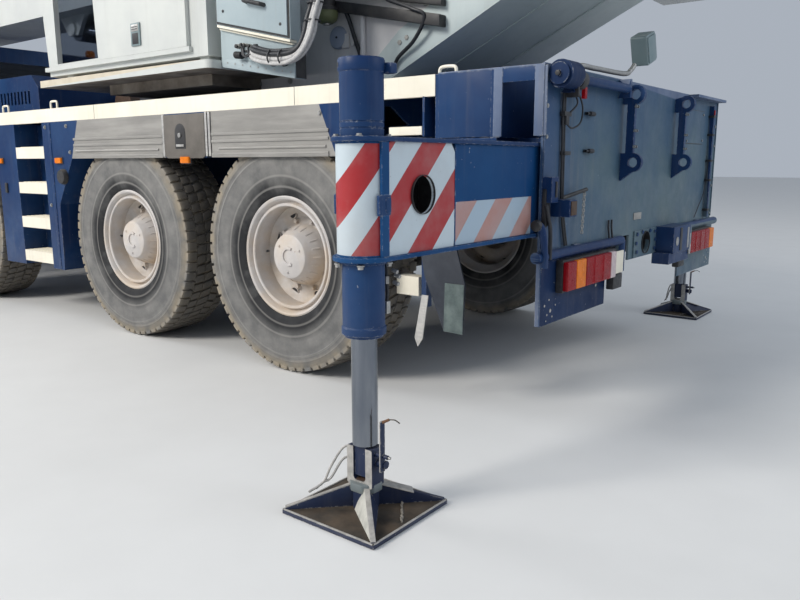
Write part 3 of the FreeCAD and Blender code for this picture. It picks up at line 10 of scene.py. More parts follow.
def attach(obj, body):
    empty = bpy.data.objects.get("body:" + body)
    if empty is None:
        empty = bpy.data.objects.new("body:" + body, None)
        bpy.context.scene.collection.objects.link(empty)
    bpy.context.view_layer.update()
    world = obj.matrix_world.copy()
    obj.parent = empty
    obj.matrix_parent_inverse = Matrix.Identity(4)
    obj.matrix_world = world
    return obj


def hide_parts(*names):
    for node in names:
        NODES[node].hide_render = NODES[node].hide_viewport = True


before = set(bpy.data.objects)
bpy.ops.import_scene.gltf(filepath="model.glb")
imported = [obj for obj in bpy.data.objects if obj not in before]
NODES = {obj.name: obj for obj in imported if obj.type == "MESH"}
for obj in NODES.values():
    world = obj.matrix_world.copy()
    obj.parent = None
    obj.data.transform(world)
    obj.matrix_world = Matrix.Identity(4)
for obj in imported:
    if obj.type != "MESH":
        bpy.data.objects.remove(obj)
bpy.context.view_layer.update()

AXLE_X = -3182.65
AXLES = {"rear": 0, "middle": 1585, "front": 4185}
SIDES = {"left": 1, "right": -1}
WHEEL_Y, WHEEL_Z = 1080, 685


def at(x, y, z):
    """Metres in the shared frame from millimetres off the rear axle."""
    return Vector(((x + AXLE_X) / 1000, y / 1000, z / 1000))


# Materials. Every surface gets its colour, roughness and relief from nodes.

class Nodes:
    """A material's node tree, built one node at a time."""

    def __init__(self, name):
        self.material = bpy.data.materials.new(name)
        self.material.use_nodes = True
        self.tree = self.material.node_tree
        self.shader = self.tree.nodes["Principled BSDF"]
        self.place = None

    def add(self, kind, inputs=(), **settings):
        node = self.tree.nodes.new(kind)
        for key, value in settings.items():
            setattr(node, key, value)
        for key, value in dict(inputs).items():
            self.put(node.inputs[key], value)
        return node

    def put(self, socket, value):
        if isinstance(value, bpy.types.NodeSocket):
            self.tree.links.new(value, socket)
        else:
            socket.default_value = value

    def coords(self, scale=(1, 1, 1)):
        if self.place is None:
            self.place = self.add("ShaderNodeTexCoord").outputs["Object"]
        return self.add("ShaderNodeMapping", {"Vector": self.place, "Scale": scale}).outputs[0]

    def noise(self, scale, detail=3, rough=0.55, stretch=(1, 1, 1)):
        return self.add("ShaderNodeTexNoise", {"Vector": self.coords(stretch), "Scale": scale,
                                               "Detail": detail, "Roughness": rough}).outputs["Fac"]

    def ramp(self, fac, low, high, a=0.0, b=1.0):
        return self.add("ShaderNodeMapRange", {"Value": fac, "From Min": low, "From Max": high,
                                               "To Min": a, "To Max": b}).outputs[0]

    def math(self, op, a, b=0.0):
        return self.add("ShaderNodeMath", {0: a, 1: b}, operation=op).outputs[0]

    def times(self, a, b):
        return self.math("MULTIPLY", a, b)

    def mix(self, fac, a, b):
        node = self.add("ShaderNodeMix", data_type="RGBA")
        self.put(node.inputs[0], fac)
        for socket, value in ((node.inputs[6], a), (node.inputs[7], b)):
            if not isinstance(value, bpy.types.NodeSocket):
                value = tuple(value) + (1,) * (4 - len(value))
            self.put(socket, value)
        return node.outputs[2]

    def axes(self, vector=None):
        """X, Y and Z of a vector, or of the place on the piece."""
        return self.add("ShaderNodeSeparateXYZ", {0: vector or self.coords()}).outputs

    def surface(self, output):
        return self.add("ShaderNodeNewGeometry").outputs[output]

    def edges(self, radius=0.006):
        """1 at worn edges, 0 on flat faces."""
        soft = self.add("ShaderNodeBevel", {"Radius": radius}, samples=4).outputs[0]
        both = self.add("ShaderNodeVectorMath", {0: soft, 1: self.surface("Normal")}, operation="DOT_PRODUCT")
        return self.ramp(both.outputs["Value"], 0.995, 0.86)

    def bump(self, height, strength, distance=0.002):
        self.put(self.shader.inputs["Normal"], self.add("ShaderNodeBump", {
            "Height": height, "Strength": strength, "Distance": distance}).outputs[0])

    def finish(self, colour, rough, metallic=0.0):
        self.put(self.shader.inputs["Base Color"], colour)
        self.put(self.shader.inputs["Roughness"], rough)
        self.shader.inputs["Metallic"].default_value = metallic
        return self.material


DUST = (0.40, 0.35, 0.28)


def painted(name, base, faded, dust=0.35, streaks=0.35, chips=0.55, chip_colour=(0.55, 0.56, 0.55), rough=0.38,
            low=0.3, high=1.3, coat=0.0, gloss=0.5, edge=None):
    """Weathered paint: cloudy fading, rain streaks, dust low down and on tops, worn edges.

    low and high are the heights where the low dust is full and where it ends; edge is a colour that
    shows towards the left side and in broad bands near the top."""
    n = Nodes(name)
    cloud = n.noise(2.2, 5, 0.6)
    colour = n.mix(n.ramp(cloud, 0.38, 0.68), base, faded)
    if edge:
        spot = n.axes()
        side = n.ramp(n.math("ADD", spot["Y"], n.times(cloud, 0.5)), 1.05, 1.5)
        top = n.ramp(n.math("ADD", spot["Z"], n.times(n.noise(1.3, 4), 0.9)), 1.65, 2.1)
        colour = n.mix(n.times(n.math("MAXIMUM", side, n.times(top, 0.6)), 0.8), colour, edge)
    streak = n.noise(1.0, 4, 0.6, (26, 26, 1.2))
    colour = n.mix(n.ramp(streak, 0.55, 0.8, 0, streaks), colour, [c * 0.5 + d * 0.35 for c, d in zip(base, DUST)])
    grime = n.times(n.ramp(n.axes(n.surface("Position"))["Z"], high, low), n.ramp(n.noise(6, 6, 0.65), 0.3, 0.7))
    colour = n.mix(n.times(grime, dust), colour, DUST)
    top = n.times(n.ramp(n.axes(n.surface("Normal"))["Z"], 0.6, 1.0), n.ramp(n.noise(9, 5), 0.35, 0.65))
    colour = n.mix(n.times(top, dust * 1.1), colour, DUST)
    wear = n.times(n.edges(), n.ramp(n.noise(45, 4, 0.7), 0.5, 0.62))
    specks = n.ramp(n.noise(70, 3, 0.5), 0.735, 0.76)
    colour = n.mix(n.times(n.math("MAXIMUM", wear, specks), chips), colour, chip_colour)
    roughness = n.ramp(n.noise(11, 5, 0.6), 0.3, 0.75, rough * 0.85, min(rough * 1.5, 0.95))
    n.bump(n.noise(160, 2), 0.08, 0.0008)
    n.shader.inputs["Coat Weight"].default_value = coat
    n.shader.inputs["Specular IOR Level"].default_value = gloss
    return n.finish(colour, roughness)


def plain(name, base, second, rough, metallic=0.0, scale=30, bump=0.15, dust=0.25, stretch=(1, 1, 1)):
    """A surface of two mingled tones with some dust on top of it."""
    n = Nodes(name)
    colour = n.mix(n.ramp(n.noise(scale, 5, 0.6, stretch), 0.35, 0.65), base, second)
    top = n.times(n.ramp(n.axes(n.surface("Normal"))["Z"], 0.3, 1.0), n.ramp(n.noise(12, 5), 0.4, 0.7))
    colour = n.mix(n.times(top, dust), colour, DUST)
    n.bump(n.noise(scale * 8, 3), bump, 0.001)
    return n.finish(colour, n.ramp(n.noise(scale * 0.7, 4), 0.3, 0.7, rough * 0.8, min(1, rough * 1.25)), metallic)


BLUE = painted("paint_blue", (0.007, 0.029, 0.10), (0.015, 0.052, 0.145), dust=0.12, streaks=0.2, chips=0.5,
               rough=0.36, low=0.1, high=0.9, gloss=0.2)
# deep navy, painted shade: the rear panel's low left board and the round cap at its upper left
SHADE_NAVY = painted("paint_navy_shade", (0.004, 0.015, 0.055), (0.008, 0.027, 0.085), dust=0.06, streaks=0.2, chips=0.7,
               rough=0.42, low=0.1, high=0.6, gloss=0.15)
BEAM_BLUE = painted("paint_blue_beam", (0.005, 0.047, 0.15), (0.010, 0.066, 0.185), dust=0.05, streaks=0.15,
                    chips=0.5, rough=0.42, low=0.7, high=1.1, gloss=0.12)
FADED_BLUE = painted("paint_blue_faded", (0.042, 0.094, 0.15), (0.088, 0.142, 0.165), dust=0.16, streaks=0.4,
                     chips=0.35, rough=0.42, low=0.4, high=1.5, gloss=0.35, edge=(0.012, 0.050, 0.15))
# paler blue with worn paint; on the rear panel's folded top and left edge its paleness is painted sunlight
WORN_AND_SUNLIT_BLUE = painted("paint_blue_worn_and_sunlit", (0.085, 0.125, 0.22), (0.16, 0.20, 0.29), dust=0.15, streaks=0.5, chips=0.8,
                    chip_colour=(0.45, 0.46, 0.45), rough=0.5, gloss=0.3)
PAD = painted("paint_pad", (0.007, 0.016, 0.052), (0.015, 0.028, 0.072), dust=0.1, streaks=0.2, chips=0.8,
              chip_colour=(0.40, 0.38, 0.34), rough=0.45, low=0.0, high=0.06, gloss=0.4)
PAD_DIRT = plain("pad_dirt", (0.022, 0.018, 0.014), (0.070, 0.048, 0.030), 0.85, scale=9, bump=0.6, dust=0.06)
FORK = painted("paint_fork", (0.13, 0.16, 0.17), (0.24, 0.26, 0.26), dust=0.25, chips=0.8,
               chip_colour=(0.42, 0.41, 0.37), rough=0.5, low=0.0, high=0.05)
GRIT = plain("grit", (0.10, 0.09, 0.075), (0.30, 0.27, 0.23), 0.9, scale=60, bump=0.3)
CREAM = painted("paint_cream", (0.80, 0.75, 0.62), (0.88, 0.84, 0.72), dust=0.16, streaks=0.28, chips=0.5,
                chip_colour=(0.30, 0.24, 0.18), rough=0.42)
UPPER = painted("paint_upper", (0.55, 0.57, 0.555), (0.62, 0.64, 0.61), dust=0.14, streaks=0.22, chips=0.3,
                chip_colour=(0.22, 0.20, 0.18), rough=0.34, coat=0.2)
CABINET = painted("paint_cabinet", (0.33, 0.405, 0.44), (0.40, 0.475, 0.50), dust=0.1, streaks=0.25, chips=0.3,
                  chip_colour=(0.22, 0.20, 0.18), rough=0.38)
CHEEK = painted("paint_cheek", (0.62, 0.615, 0.62), (0.70, 0.69, 0.69), dust=0.22, streaks=0.5, chips=0.4,
                chip_colour=(0.30, 0.18, 0.10), rough=0.5)
# the tail's underside: the upper paint made greener and darker, painted shade lit by light bounced from the ground
SHADED_TAIL = painted("paint_tail_shaded", (0.46, 0.54, 0.55), (0.54, 0.61, 0.61), dust=0.12, streaks=0.3, chips=0.3,
               chip_colour=(0.18, 0.17, 0.15), rough=0.45)
TEAL = painted("paint_teal", (0.16, 0.22, 0.235), (0.24, 0.30, 0.31), dust=0.2, streaks=0.3, chips=0.4,
               chip_colour=(0.5, 0.5, 0.48), rough=0.4)
BLUE_GREY = painted("paint_blue_grey", (0.27, 0.32, 0.43), (0.34, 0.39, 0.49), dust=0.1, streaks=0.2, chips=0.2,
                    rough=0.45)
SKIRT = plain("skirt_plastic", (0.24, 0.232, 0.218), (0.33, 0.318, 0.298), 0.42, scale=5, bump=0.06, dust=0.3,
              stretch=(0.5, 1, 4))
TAUPE = plain("latch_plastic", (0.10, 0.09, 0.078), (0.14, 0.125, 0.11), 0.55, scale=8, bump=0.1)
ALUMINIUM = plain("aluminium", (0.50, 0.49, 0.47), (0.62, 0.60, 0.57), 0.35, 0.7, scale=14, stretch=(1, 1, 5))
BLACK = plain("black_steel", (0.013, 0.014, 0.018), (0.034, 0.033, 0.034), 0.5, scale=16, bump=0.25, dust=0.16)
GREASY = plain("greasy_steel", (0.03, 0.028, 0.026), (0.075, 0.065, 0.055), 0.55, 0.2, scale=12, bump=0.3, dust=0.5)
STEEL = plain("galvanised", (0.34, 0.34, 0.33), (0.46, 0.45, 0.43), 0.4, 0.8, scale=40, bump=0.2)
# the chrome is given a dark, bluish colour: a painted reflection of dark ground
CHROME = plain("ground_rod", (0.16, 0.18, 0.215), (0.26, 0.28, 0.31), 0.16, 1.0, scale=9, bump=0.02, dust=0.0,
               stretch=(1, 1, 0.2))
HOSE = plain("hose_rubber", (0.009, 0.011, 0.016), (0.022, 0.024, 0.030), 0.5, scale=20, bump=0.12, dust=0.12)
SLEEVE = plain("hose_sleeve", (0.42, 0.42, 0.42), (0.58, 0.57, 0.56), 0.7, scale=60, bump=0.5, dust=0.2)
DARK = plain("dark_plastic", (0.02, 0.02, 0.022), (0.035, 0.035, 0.037), 0.5, scale=60, bump=0.25)
OLIVE = plain("olive_paint", (0.13, 0.15, 0.07), (0.17, 0.19, 0.09), 0.45, scale=12, bump=0.08)
BEIGE = plain("beige_parts", (0.55, 0.49, 0.38), (0.64, 0.58, 0.47), 0.5, scale=9, bump=0.08)
SEAT = plain("seat_fabric", (0.05, 0.055, 0.07), (0.085, 0.09, 0.11), 0.9, scale=240, bump=0.5, dust=0.1)
WORN = plain("bare_worn_steel", (0.36, 0.35, 0.33), (0.52, 0.50, 0.47), 0.45, 0.35, scale=38, bump=0.3, dust=0.3)
LINING = plain("cab_lining", (0.035, 0.040, 0.055), (0.06, 0.066, 0.082), 0.7, scale=50, bump=0.2, dust=0.05)
UNDERSIDE = plain("cab_underside", (0.17, 0.14, 0.11), (0.36, 0.31, 0.25), 0.8, scale=5, bump=0.3, dust=0.1)
BROWN = plain("brown_plastic", (0.055, 0.030, 0.019), (0.085, 0.05, 0.032), 0.6, scale=20, bump=0.2)
FLAP = plain("flap_rubber", (0.014, 0.019, 0.030), (0.030, 0.036, 0.050), 0.6, scale=10, bump=0.2, dust=0.12)
FLAP_WORN = plain("flap_worn", (0.065, 0.09, 0.09), (0.12, 0.155, 0.15), 0.7, scale=18, bump=0.3)
# pale grey for the forward face of one web on each pad: painted sunlight
SUNLIT_WHITE = plain("sunlit_white", (0.44, 0.44, 0.40), (0.60, 0.59, 0.54), 0.6, scale=24, bump=0.2, dust=0.15)
RUST = plain("rusty_steel", (0.12, 0.055, 0.028), (0.22, 0.12, 0.065), 0.8, scale=30, bump=0.4)


def lens(name, colour, ribs=110.0):
    n = Nodes(name)
    wave = n.add("ShaderNodeTexWave", {"Vector": n.coords(), "Scale": ribs, "Distortion": 0.0},
                 bands_direction="Y").outputs["Fac"]
    tint = n.mix(n.ramp(n.noise(14, 4), 0.35, 0.65), colour, [c * 0.72 for c in colour])
    tint = n.mix(n.times(wave, 0.25), tint, [c * 0.45 for c in colour])
    n.bump(wave, 0.35, 0.002)
    n.shader.inputs["Specular IOR Level"].default_value = 0.2
    # a faint glow in the lens's own colour: painted light, with no lamp lit behind it
    n.shader.inputs["Emission Color"].default_value = tuple(colour) + (1,)
    n.shader.inputs["Emission Strength"].default_value = 0.12
    return n.finish(tint, n.ramp(n.noise(30), 0.3, 0.7, 0.12, 0.3))


RED_LENS = lens("lens_red", (0.27, 0.005, 0.010))
ORANGE_LENS = lens("lens_orange", (0.78, 0.20, 0.012))
WHITE_LENS = lens("lens_clear", (0.60, 0.50, 0.51))


def glass(name):
    n = Nodes(name)
    film = n.ramp(n.noise(5, 5, 0.6), 0.4, 0.75, 0.0, 0.5)
    n.shader.inputs["Transmission Weight"].default_value = 0.9
    n.shader.inputs["IOR"].default_value = 1.2
    n.bump(n.noise(3, 2), 0.02, 0.001)
    return n.finish(n.mix(film, (0.20, 0.23, 0.28), (0.16, 0.19, 0.23)), n.ramp(n.noise(8, 4), 0.4, 0.7, 0.02, 0.10))


GLASS = glass("tinted_glass")


def stripes(name, red, white, pitch, start, fade):
    """Warning stripes that lean inward as they rise, alike on both sides, scratched and faded."""
    n = Nodes(name)
    spot = n.axes()
    flat = n.math("ADD", n.math("ABSOLUTE", spot["Y"]), spot["X"])
    along = n.math("ADD", n.math("ADD", flat, start), spot["Z"])
    mask = n.math("GREATER_THAN", n.math("FRACT", n.math("DIVIDE", along, pitch)), 0.5)
    paint = n.mix(n.ramp(n.noise(8, 4), 0.35, 0.7, 0.0, fade), red, [0.5 * (a + b) for a, b in zip(red, white)])
    colour = n.mix(mask, paint, white)
    scratch = n.ramp(n.noise(38, 6, 0.7, (1, 1, 1.6)), 0.66, 0.7, 0.0, 0.55)
    colour = n.mix(scratch, colour, (0.10, 0.10, 0.11))
    grime = n.ramp(n.noise(4, 5, 0.6), 0.45, 0.75, 0.0, 0.3)
    colour = n.mix(grime, colour, (0.36, 0.34, 0.32))
    n.bump(n.noise(90, 2), 0.04, 0.0006)
    return n.finish(colour, n.ramp(n.noise(20), 0.3, 0.7, 0.3, 0.5))


STRIPES = stripes("warning_stripes", (0.36, 0.011, 0.015), (0.52, 0.60, 0.65), pitch=0.292, start=1.5247, fade=0.08)
FADED_STRIPES = stripes("warning_stripes_faded", (0.42, 0.22, 0.19), (0.36, 0.46, 0.55), pitch=0.277, start=2.2267,
                        fade=0.35)


def rubber():
    """Dusty tyre rubber: painted shade in patches on the wall near the rim, pale on its ridges, tan dust on the
    shoulders, painted shade on the tread.
    """
    n = Nodes("tyre_rubber")
    spot = n.axes()
    radius = n.math("SQRT", n.math("ADD", n.math("POWER", spot["X"], 2.0), n.math("POWER", spot["Z"], 2.0)))
    colour = n.mix(n.ramp(n.noise(7, 6, 0.65), 0.35, 0.7), (0.135, 0.135, 0.134), (0.235, 0.230, 0.220))
    # patches of painted shade on the wall near the rim
    bead_shade = n.times(n.ramp(radius, 0.50, 0.42), n.ramp(n.noise(3, 4), 0.22, 0.50))
    colour = n.mix(n.times(bead_shade, 0.9), colour, (0.014, 0.015, 0.018))
    for ridge in (0.404, 0.466, 0.590):
        near = n.ramp(n.math("ABSOLUTE", n.math("SUBTRACT", radius, ridge)), 0.009, 0.003, 0.0, 0.3)
        colour = n.mix(near, colour, (0.40, 0.385, 0.36))
    shoulder = n.times(n.ramp(radius, 0.60, 0.65), n.ramp(n.noise(10, 5), 0.3, 0.6))
    colour = n.mix(n.times(shoulder, 0.7), colour, (0.34, 0.285, 0.205))
    # painted shade darkens the tread's outer face
    tread_shade = n.times(n.ramp(radius, 0.672, 0.680), n.ramp(n.math("ABSOLUTE", spot["Y"]), 0.186, 0.168))
    colour = n.mix(n.times(tread_shade, 0.75), colour, (0.085, 0.080, 0.074))
    rings = n.add("ShaderNodeTexWave", {"Vector": n.add("ShaderNodeCombineXYZ", {0: radius}).outputs[0],
                                        "Scale": 14.0, "Distortion": 0.0}, bands_direction="X").outputs["Fac"]
    n.bump(n.math("ADD", n.times(rings, 0.25), n.noise(120, 3)), 0.2, 0.002)
    n.shader.inputs["Specular IOR Level"].default_value = 0.2
    return n.finish(colour, n.ramp(n.noise(16), 0.3, 0.7, 0.72, 0.95))


RUBBER = rubber()


def rim_paint():
    n = Nodes("rim_paint")
    colour = n.mix(n.ramp(n.noise(6, 5, 0.6), 0.35, 0.7), (0.49, 0.465, 0.45), (0.62, 0.59, 0.57))
    spot = n.axes()
    # darker and browner deeper in the rim: painted shade in its well, with grime
    deep = n.ramp(n.math("ABSOLUTE", spot["Y"]), 0.11, 0.03)
    well_shade_and_dirt = n.times(deep, n.ramp(n.noise(11, 6, 0.65), 0.28, 0.62))
    colour = n.mix(n.times(well_shade_and_dirt, 0.62), colour, (0.30, 0.26, 0.22))
    tan = n.ramp(n.noise(3.5, 5, 0.6), 0.44, 0.66, 0.0, 0.6)
    colour = n.mix(tan, colour, (0.52, 0.40, 0.27))
    rust = n.ramp(n.noise(17, 5, 0.7), 0.69, 0.74, 0.0, 0.8)
    colour = n.mix(rust, colour, (0.22, 0.10, 0.04))
    n.bump(n.noise(80, 3), 0.12, 0.001)
    return n.finish(colour, n.ramp(n.noise(14), 0.3, 0.7, 0.42, 0.7))


RIM = rim_paint()


# Meshes. A Maker gathers simple closed forms into one named piece.

def turns(count, shift=0.0):
    """Angles once round, in radians."""
    return [2 * math.pi * (k + shift) / count for k in range(count)]


class Maker:
    """With an origin the spots are taken from that place, otherwise from the rear axle."""

    def __init__(self, name, origin=None):
        self.name = name
        self.bm = bmesh.new()
        self.materials = []
        self.origin = origin

    def spot(self, x, y, z):
        return Vector((x, y, z)) / 1000 if self.origin else at(x, y, z)

    def index(self, material):
        if material not in self.materials:
            self.materials.append(material)
        return self.materials.index(material)

    def paint(self, faces, material, smooth):
        index = self.index(material)
        for face in faces:
            face.material_index = index
            face.smooth = smooth

    def bevel(self, faces, size, segments=2):
        edges = {edge for face in faces for edge in face.edges}
        sharp = [edge for edge in edges if len(edge.link_faces) == 2 and edge.calc_face_angle(0) > 0.5]
        before = set(self.bm.faces)
        index, smooth = faces[0].material_index, faces[0].smooth
        bmesh.ops.bevel(self.bm, geom=sharp, offset=size / 1000, segments=segments, profile=0.6, affect="EDGES",
                        clamp_overlap=True)
        for face in set(self.bm.faces) - before:
            face.material_index = index
            face.smooth = smooth

    def solid(self, rings, material, smooth=False, closed=False, bevel=0.0, caps=True):
        """Rings of equal point counts joined into a skin; capped at both ends, or closed."""
        rows = [[self.bm.verts.new(point) for point in ring] for ring in rings]
        faces = []
        count = len(rows[0])
        pairs = list(zip(rows, rows[1:])) + ([(rows[-1], rows[0])] if closed else [])
        for a, b in pairs:
            for i in range(count):
                j = (i + 1) % count
                faces.append(self.bm.faces.new((a[i], a[j], b[j], b[i])))
        if not closed and caps:
            faces.append(self.bm.faces.new(list(reversed(rows[0]))))
            faces.append(self.bm.faces.new(rows[-1]))
        bmesh.ops.recalc_face_normals(self.bm, faces=faces)
        self.paint(faces, material, smooth)
        if bevel:
            self.bevel(faces, bevel)
        return faces

    def box(self, x0, x1, y0, y1, z0, z1, material, bevel=3.0):
        loops = [[self.spot(x, y, z) for x, y in ((x0, y0), (x1, y0), (x1, y1), (x0, y1))] for z in (z0, z1)]
        return self.solid(loops, material, bevel=bevel)

    def prism(self, points, axis, low, high, material, bevel=2.0):
        """Corners (u, v) in the plane across the axis, drawn out from low to high."""
        order = {"x": (2, 0, 1), "y": (0, 2, 1), "z": (0, 1, 2)}[axis]
        loops = [[self.spot(*[(u, v, w)[k] for k in order]) for u, v in points] for w in (low, high)]
        return self.solid(loops, material, bevel=bevel)

    def bar(self, a, b, radius, material, sides=20, bevel=0.0, end=None):
        """A round bar between two spots; end is a second radius at the far end."""
        a, b = self.spot(*a), self.spot(*b)
        turn = (b - a).to_track_quat("Z", "Y").to_matrix()
        rings = [[centre + turn @ Vector((math.cos(t) * r, math.sin(t) * r, 0)) / 1000 for t in turns(sides)]
                 for centre, r in ((a, radius), (b, radius if end is None else end))]
        return self.solid(rings, material, smooth=True, bevel=bevel)

    def turned(self, profile, centre, axis, material, steps=48):
        """A lathe form from corners (radius, place along the axis), closed on itself."""
        centre = self.spot(*centre)
        upright = {"x": Matrix(((0, 0, 1), (1, 0, 0), (0, 1, 0))), "y": Matrix(((1, 0, 0), (0, 0, 1), (0, 1, 0))),
                   "z": Matrix.Identity(3)}[axis]
        rings = [[centre + upright @ Vector((r * math.cos(t), r * math.sin(t), w)) / 1000 for r, w in profile]
                 for t in turns(steps)]
        return self.solid(rings, material, smooth=True, closed=True)

    def tube(self, points, radius, material, sides=10, smooth_steps=6):
        """A bent round tube through the spots, rounded between them."""
        path = rounded([self.spot(*p) for p in points], smooth_steps)
        rings = []
        up = Vector((0, 0, 1))
        for i, point in enumerate(path):
            ahead = (path[min(i + 1, len(path) - 1)] - path[max(i - 1, 0)]).normalized()
            across = ahead.cross(up)
            if across.length < 0.05:
                across = ahead.cross(Vector((1, 0, 0)))
            across.normalize()
            up = across.cross(ahead).normalized()
            rings.append([point + (across * math.cos(t) + up * math.sin(t)) * radius / 1000 for t in turns(sides)])
        return self.solid(rings, material, smooth=True)

    def bolt(self, spot, axis, radius=9, height=7, material=STEEL):
        """A hexagon head with a washer, standing out along a signed axis such as '-x'."""
        sign = -1 if axis[0] == "-" else 1
        unit = {"x": (1, 0, 0), "y": (0, 1, 0), "z": (0, 0, 1)}[axis[-1]]
        ends = [[s + u * sign * h for s, u in zip(spot, unit)] for h in (-2, 2.5, height)]
        self.bar(ends[0], ends[1], radius * 1.35, material, 12)
        for face in self.bar(ends[1], ends[2], radius, material, 6):
            face.smooth = False

    def hand_hole(self, centre, away, radius):
        """A hand hole drawn as a turned lip round a black oval of painted shade where the hole goes through."""
        turn = Vector(away).to_track_quat("Z", "Y").to_matrix()
        lip, disc = [[[(centre + turn @ Vector((math.cos(t) * r, math.sin(t) * r * 0.8, h))) / 1000
                       for t in turns(18)] for r, h in rings]
                     for rings in (((radius + 5, -6), (radius + 5, 3), (radius, 4), (radius - 2, -4)),
                                   ((radius - 1, -8), (radius - 1, 1)))]
        self.solid(lip, RIM, smooth=True, caps=False)
        self.solid(disc, BLACK)

    def mesh(self, angle):
        mesh = bpy.data.meshes.new(self.name)
        self.bm.to_mesh(mesh)
        self.bm.free()
        mesh.set_sharp_from_angle(angle=math.radians(angle))
        for material in self.materials:
            mesh.materials.append(material)
        return mesh

    def done(self, body, slot, replaces=()):
        return stand(self.name, self.mesh(35), body, slot, replaces)


def stand(name, mesh, body, slot, replaces, origin=None, turn=0.0):
    piece = bpy.data.objects.new(name, mesh)
    bpy.context.scene.collection.objects.link(piece)
    if origin:
        piece.location = at(*origin)
        piece.rotation_euler = (0, 0, turn)
    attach(piece, body)
    if replaces:
        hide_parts(*replaces)
    return piece


def rounded(points, steps):
    """A Catmull-Rom line through the points."""
    line = []
    ends = [points[0]] + points + [points[-1]]
    for i in range(1, len(ends) - 2):
        a, b, c, d = ends[i - 1:i + 3]
        for t in [k / steps for k in range(steps)]:
            line.append(0.5 * ((2 * b) + (c - a) * t + (2 * a - 5 * b + 4 * c - d) * t * t
                               + (3 * b - a - 3 * c + d) * t ** 3))
    return line + [points[-1]]


def coat(material, *names):
    """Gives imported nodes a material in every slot."""
    for name in names:
        node = NODES[name]
        node.data.materials.clear()
        node.data.materials.append(material)


def coat_where(name, material, test):
    """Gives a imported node's faces a further material where the test of a face's middle holds."""
    node = NODES[name]
    node.data.materials.append(material)
    for face in node.data.polygons:
        if test(node.matrix_world @ face.center):
            face.material_index = len(node.data.materials) - 1


coat(BLUE, "chassis_frame", "deck", "side_boxes", "carrier_cab", "carrier_door_left", "carrier_door_right",
     "engine_hood")
coat(FADED_BLUE, "rear_panel")
coat(CREAM, "deck_edges_and_steps", "front_bumper", "hook_block")
coat(SKIRT, "fenders")
coat(CABINET, "service_cabinets")
coat(UPPER, "operator_cab", "operator_door", "boom_base", "boom_middle_outer",
     "boom_middle_inner", "boom_tip", "lift_barrel", "counterweight")
coat(CHEEK, "platform")
coat(GLASS, "carrier_cab_glass", "operator_cab_glass")
coat(DARK, "cab_interior")
coat(SEAT, "operator_seat")
coat(GREASY, "engine_block", "axles", "slew_ring", "knuckle_left", "knuckle_right", "winch_drum")
coat(BROWN, "muffler")
coat(CHROME, "lift_rod")
coat(RED_LENS, "lamps")
# Heights are in metres above the ground, X in metres in the shared frame.
ROD_EYE_TOP = 0.246
for corner in ("rear_left", "rear_right", "front_left", "front_right"):
    coat(CHROME, "jack_rod_" + corner)
    # the eye at the ground rod's foot is painted
    coat_where("jack_rod_" + corner, PAD, lambda s: s.z < ROD_EYE_TOP)
# what stands out from the rear panel is blue; its low left board and the round cap at its upper left are navy, painted
# shade; its folded top is a paler worn blue, with painted sunlight
PANEL_FACE, PANEL_FOLD = (-1652 + AXLE_X) / 1000, 1.612
coat_where("rear_panel", BLUE, lambda s: s.x < PANEL_FACE and not (s.y < -0.5 and s.z < 0.82))
coat_where("rear_panel", WORN_AND_SUNLIT_BLUE, lambda s: s.z > PANEL_FOLD)
coat_where("rear_panel", SHADE_NAVY, lambda s: s.x < PANEL_FACE and s.y > 0.55 and (s.z < 0.80 or s.y > 1.0 and s.z > 1.5))
# the doors' panes, which are one solid with their leaves
PANE_X, PANE_Y, PANE_Z = [(x + AXLE_X) / 1000 for x in (5985, 6815)], (1.2425, 1.2515), (1.66, 2.24)
for door in ("carrier_door_left", "carrier_door_right"):
    coat_where(door, GLASS, lambda s: PANE_X[0] < s.x < PANE_X[1] and PANE_Y[0] < abs(s.y) < PANE_Y[1]
               and PANE_Z[0] < s.z < PANE_Z[1])
# the operator cab's lining, the beige front of its foot, and its underside
CAB_X, CAB_STEP = [(x + AXLE_X) / 1000 for x in (736, 2596)], (1527 + AXLE_X) / 1000
coat_where("operator_cab", LINING, lambda s: 0.655 < s.y < 1.145 and CAB_X[0] < s.x < CAB_X[1] and 1.9 < s.z < 3.33)
coat_where("operator_cab", BEIGE, lambda s: s.z < 1.845 and s.x > CAB_STEP)
coat_where("operator_cab", UNDERSIDE, lambda s: s.z < 1.792)


# Wheels: a tyre with a ribbed wall and tread blocks, and a deep stepped rim

TYRE_R, TREAD_PITCHES = 685, 62


